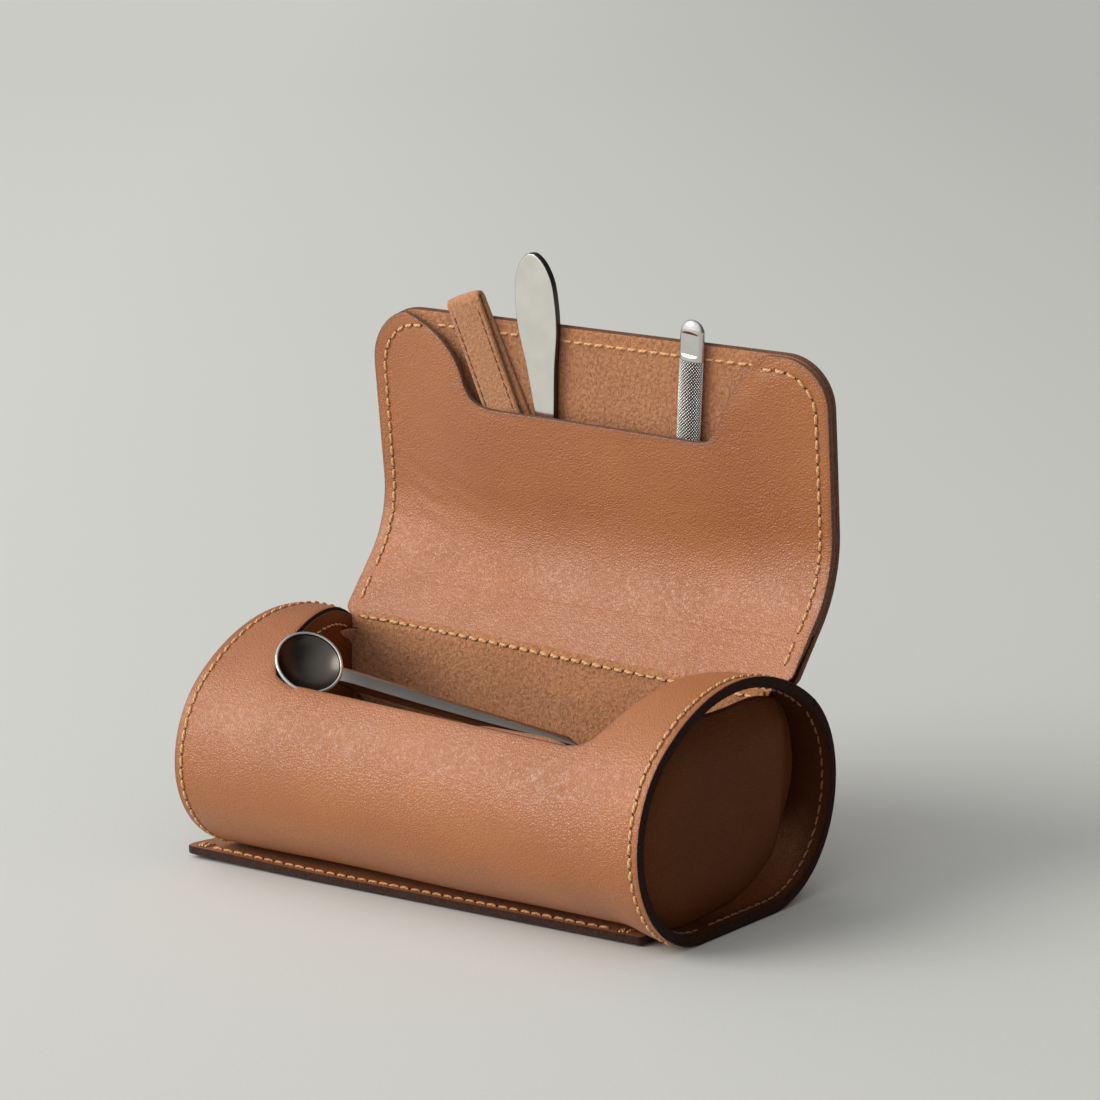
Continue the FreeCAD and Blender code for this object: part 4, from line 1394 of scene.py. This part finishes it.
STRAP_HALF = 5.75
STRAP_LEATHER = 0.62
STRAP_LENGTH = 48.6
STRAP_MIDDLE = 3.5
STRAP_TURN = 1.1
STRAP_SEAM = STRAP_HALF - 1.4
STRAP_RUNS = [(STRAP_LENGTH - 1.6, 0), arc(STRAP_TURN, -180), (STRAP_LENGTH - 4, 0)]
strap_track = Track((-STRAP_MIDDLE - STRAP_TURN, 0), 90, STRAP_RUNS)
strap_at = tool_place(at=-23.3, foot=STRAP_HALF, tilt=18.7)
fold_way = strap_track.runs[1][0]


def strap_place(u, v, h):
    """The strip goes up in front, folds over and comes down behind, drifting to the right."""
    y, z, heading = strap_track.at(v)
    off = -(y - np.sin(heading) * h)
    up = z + np.cos(heading) * h
    drift = 0.035 * np.maximum(np.asarray(v) - fold_way - 2.0, 0)
    return strap_at(u + drift, up, off)


def strap_swell(u, v):
    """The fold is fuller than the flat of the strap."""
    return 0.25 * ease(fold_way - 9, fold_way - 1, v) * ease(fold_way + 12, fold_way + 3, v)


strap_end = strap_track.length
strap_corners = both_sides([(STRAP_HALF, 0), (STRAP_HALF, strap_end)])
strap_lines = [spaced([(u, 1), (u, fold_way - 1.5)], 1.0) for u in (-STRAP_SEAM, STRAP_SEAM)]
strap = cut_sheet(
    "suede_strap_strip", rounded(strap_corners, [1.0] * 4), strap_place, -STRAP_LEATHER, STRAP_LEATHER,
    [STRAP, STRAP, STRAP], cell=1.0, edge=0.5, seams=strap_lines, groove=0.14, relief=strap_swell,
)
strap_rows = [
    stitch_row(
        f"strap_stitches_{word}", line, strap_place, STRAP_LEATHER - 0.12, pitch=2.6, length=1.8,
        thread=0.2, slant=4, seed=seed, materials=[DARK_AND_SHADED_THREAD, HOLE_SHADE],
    )
    for word, line, seed in (("left", strap_lines[0], 81), ("right", strap_lines[1], 82))
]
dress(strap, strap_rows, "suede_strap", body="strap")


# Scoop

BOWL_RADIUS = 9.2
BOWL_DEPTH = 4.5
BOWL_WALL = 0.9
BOWL_SPOKES = 96
BOWL_PARTS = 26
BOWL_RIM = range(BOWL_PARTS, BOWL_PARTS + 8)
SCOOP_AT = np.array([-43.6, -26.1, 57.78])
SCOOP_YAW, SCOOP_PITCH, SCOOP_ROLL = (math.radians(a) for a in (42.92, 18.4, 46.8))


def turn_about(axis, angle):
    cos, sin = math.cos(angle), math.sin(angle)
    if axis == "x":
        return np.array([[1, 0, 0], [0, cos, -sin], [0, sin, cos]])
    if axis == "y":
        return np.array([[cos, 0, sin], [0, 1, 0], [-sin, 0, cos]])
    return np.array([[cos, -sin, 0], [sin, cos, 0], [0, 0, 1]])


SCOOP_TURN = turn_about("z", SCOOP_YAW) @ turn_about("y", SCOOP_PITCH) @ turn_about("x", SCOOP_ROLL)


def bowl_profile():
    """Half section of the bowl from its outside bottom over a round rim to its inside bottom."""
    outer = (BOWL_RADIUS**2 + BOWL_DEPTH**2) / (2 * BOWL_DEPTH)
    deep, wide = BOWL_DEPTH - BOWL_WALL, BOWL_RADIUS - BOWL_WALL
    inner = (wide**2 + deep**2) / (2 * deep)
    line = []
    for angle in np.linspace(0, math.asin(BOWL_RADIUS / outer), BOWL_PARTS):
        line.append((outer * math.sin(angle), outer - BOWL_DEPTH - outer * math.cos(angle)))
    middle, half = BOWL_RADIUS - BOWL_WALL / 2, BOWL_WALL / 2
    for angle in np.linspace(-0.35, math.pi + 0.2, 12):
        line.append((middle + half * math.cos(angle), half * 0.9 * math.sin(angle)))
    for angle in np.linspace(0.96 * math.asin(wide / inner), 0, BOWL_PARTS):
        line.append((inner * math.sin(angle), inner - deep - inner * math.cos(angle)))
    return np.array(line)


profile = bowl_profile()
scoop_points, scoop_faces, scoop_kinds = [], [], []
for angle in full_turn(BOWL_SPOKES):
    x, y = profile[:, 0] * math.cos(angle), profile[:, 0] * math.sin(angle)
    scoop_points.append(np.stack([x, y, profile[:, 1]], axis=1))
# The one steel scoop takes three tints: the bowl near black as painted dark reflection, the rim's faces
# bright as a painted highlight, the handle between.
for spoke in range(BOWL_SPOKES):
    near, far = spoke * len(profile), (spoke + 1) % BOWL_SPOKES * len(profile)
    for i in range(len(profile) - 1):
        scoop_faces.append((near + i, far + i, far + i + 1, near + i + 1))
        scoop_kinds.append(1 if i in BOWL_RIM else 0)

# Handle's (along, half width, half height, middle height)
HANDLE = [
    (7.6, 2.0, 0.8, -1.9), (8.6, 2.3, 1.15, -1.8), (10.5, 2.4, 1.5, -1.9), (14.0, 2.45, 1.8, -2.15),
    (22.0, 2.45, 1.9, -2.4), (34.0, 2.35, 1.85, -2.5), (48.0, 2.1, 1.7, -2.4), (64.0, 1.75, 1.5, -2.0),
    (80.0, 1.4, 1.3, -1.6), (88.3, 1.25, 1.2, -1.5), (89.5, 0.9, 0.9, -1.5), (90.0, 0.3, 0.3, -1.5),
]
HANDLE_AROUND = 48
HANDLE_SQUARE = 3.0
handle_line = curve_through(HANDLE)
handle_angle = full_turn(HANDLE_AROUND)
handle_waves = (np.cos(handle_angle), np.sin(handle_angle))
square_cos, square_sin = (np.sign(wave) * np.abs(wave) ** (2 / HANDLE_SQUARE) for wave in handle_waves)
for along, half_wide, half_high, middle in handle_line:
    ring = [np.full(HANDLE_AROUND, along), half_wide * square_cos, middle + half_high * square_sin]
    scoop_points.append(np.stack(ring, axis=1))
scoop_faces += tube_faces(BOWL_SPOKES * len(profile), len(handle_line), HANDLE_AROUND)
scoop_kinds += [2] * (len(scoop_faces) - len(scoop_kinds))
scoop_local = np.vstack(scoop_points)
scoop = make_object(
    "scoop_steel", scoop_local @ SCOOP_TURN.T + SCOOP_AT, scoop_faces,
    [SHADED_STEEL, POLISHED_AND_HIGHLIGHT, HANDLE_STEEL], scoop_kinds, {"flat": scoop_local * MM},
)
settle([scoop], "scoop", "scoop")


# Floor, light and camera

PICTURE_RIGHT = (0.805, 0.593, 0.0)
PICTURE_AWAY = (-0.593, 0.805, 0.0)


def floor_material():
    f = Finish("floor_paper")
    place = f.node("ShaderNodeTexCoord", {}).outputs["Object"]
    fleck = f.noise(place, 900.0, detail=3.0)
    broad = f.noise(place, 2.0, detail=2.0)
    tone = f.mix(f.ranged(fleck, 0.3, 0.7, 0.0, 1.0), colour(0.66, 0.658, 0.615), colour(0.70, 0.695, 0.65))
    tone = f.mix(f.ranged(broad, 0.3, 0.7, 0.0, 0.5), tone, colour(0.67, 0.665, 0.622))
    # The floor darkens towards the right of the view and into the distance: painted shade of the light
    # falling off.
    shade = colour(0.25, 0.25, 0.24)
    tone = f.mix(f.ranged(f.along(place, PICTURE_RIGHT), -0.25, 0.4, 0.0, 0.4), tone, shade)
    tone = f.mix(f.ranged(f.along(place, PICTURE_AWAY), 0.2, 2.5, 0.0, 0.15), tone, shade)
    f.set(Base_Color=tone, Normal=f.bump(fleck, 0.08, 0.0003))
    f.set(Roughness=0.8)
    return f.material


FLOOR_SIDE = 9.0
floor_mesh = bpy.data.meshes.new("floor")
floor_corners = [(sx * FLOOR_SIDE, sy * FLOOR_SIDE, 0) for sx, sy in ((-1, -1), (1, -1), (1, 1), (-1, 1))]
floor_mesh.from_pydata(floor_corners, [], [(0, 1, 2, 3)])
floor_mesh.materials.append(floor_material())
floor = bpy.data.objects.new("floor", floor_mesh)
bpy.context.scene.collection.objects.link(floor)

BRIGHT_SIDE = (-0.47, -0.76, 0.45)
world = bpy.data.worlds.new("studio")
world.use_nodes = True
background = world.node_tree.nodes["Background"]
sky = Graph(world.node_tree)
outward = sky.node("ShaderNodeTexCoord", {}).outputs["Generated"]
sky.feed(background.inputs["Color"], (0.97, 0.985, 1.0, 1.0))
strength = sky.ranged(sky.along(outward, BRIGHT_SIDE), -0.2, 1.0, 0.12, 1.35)
sky.feed(background.inputs["Strength"], strength)
bpy.context.scene.world = world
bpy.context.scene.view_settings.view_transform = "Standard"


def aim(name, data, place, ahead):
    """A lamp or camera at a place, looking ahead along a direction."""
    made = bpy.data.objects.new(name, data)
    made.location = place
    made.rotation_euler = Vector(ahead).to_track_quat("-Z", "Y").to_euler()
    bpy.context.scene.collection.objects.link(made)
    return made


MIDDLE = Vector((0, 0, 0.07))
KEY_PLACE = Vector((-0.52, -0.66, 0.62))
key = bpy.data.lights.new("key", "SUN")
key.energy = 1.9
key.angle = math.radians(38)
key.color = (1.0, 0.985, 0.96)
aim("key", key, KEY_PLACE, MIDDLE - KEY_PLACE)

CAMERA_PLACE = (0.6123, -0.8110, 0.2954)
CAMERA_AHEAD = (-0.5808, 0.7893, -0.1992)
lens = bpy.data.cameras.new("camera")
lens.lens = 130.9
lens.sensor_width = 36.0
lens.clip_end = 50.0
bpy.context.scene.camera = aim("camera", lens, CAMERA_PLACE, CAMERA_AHEAD)
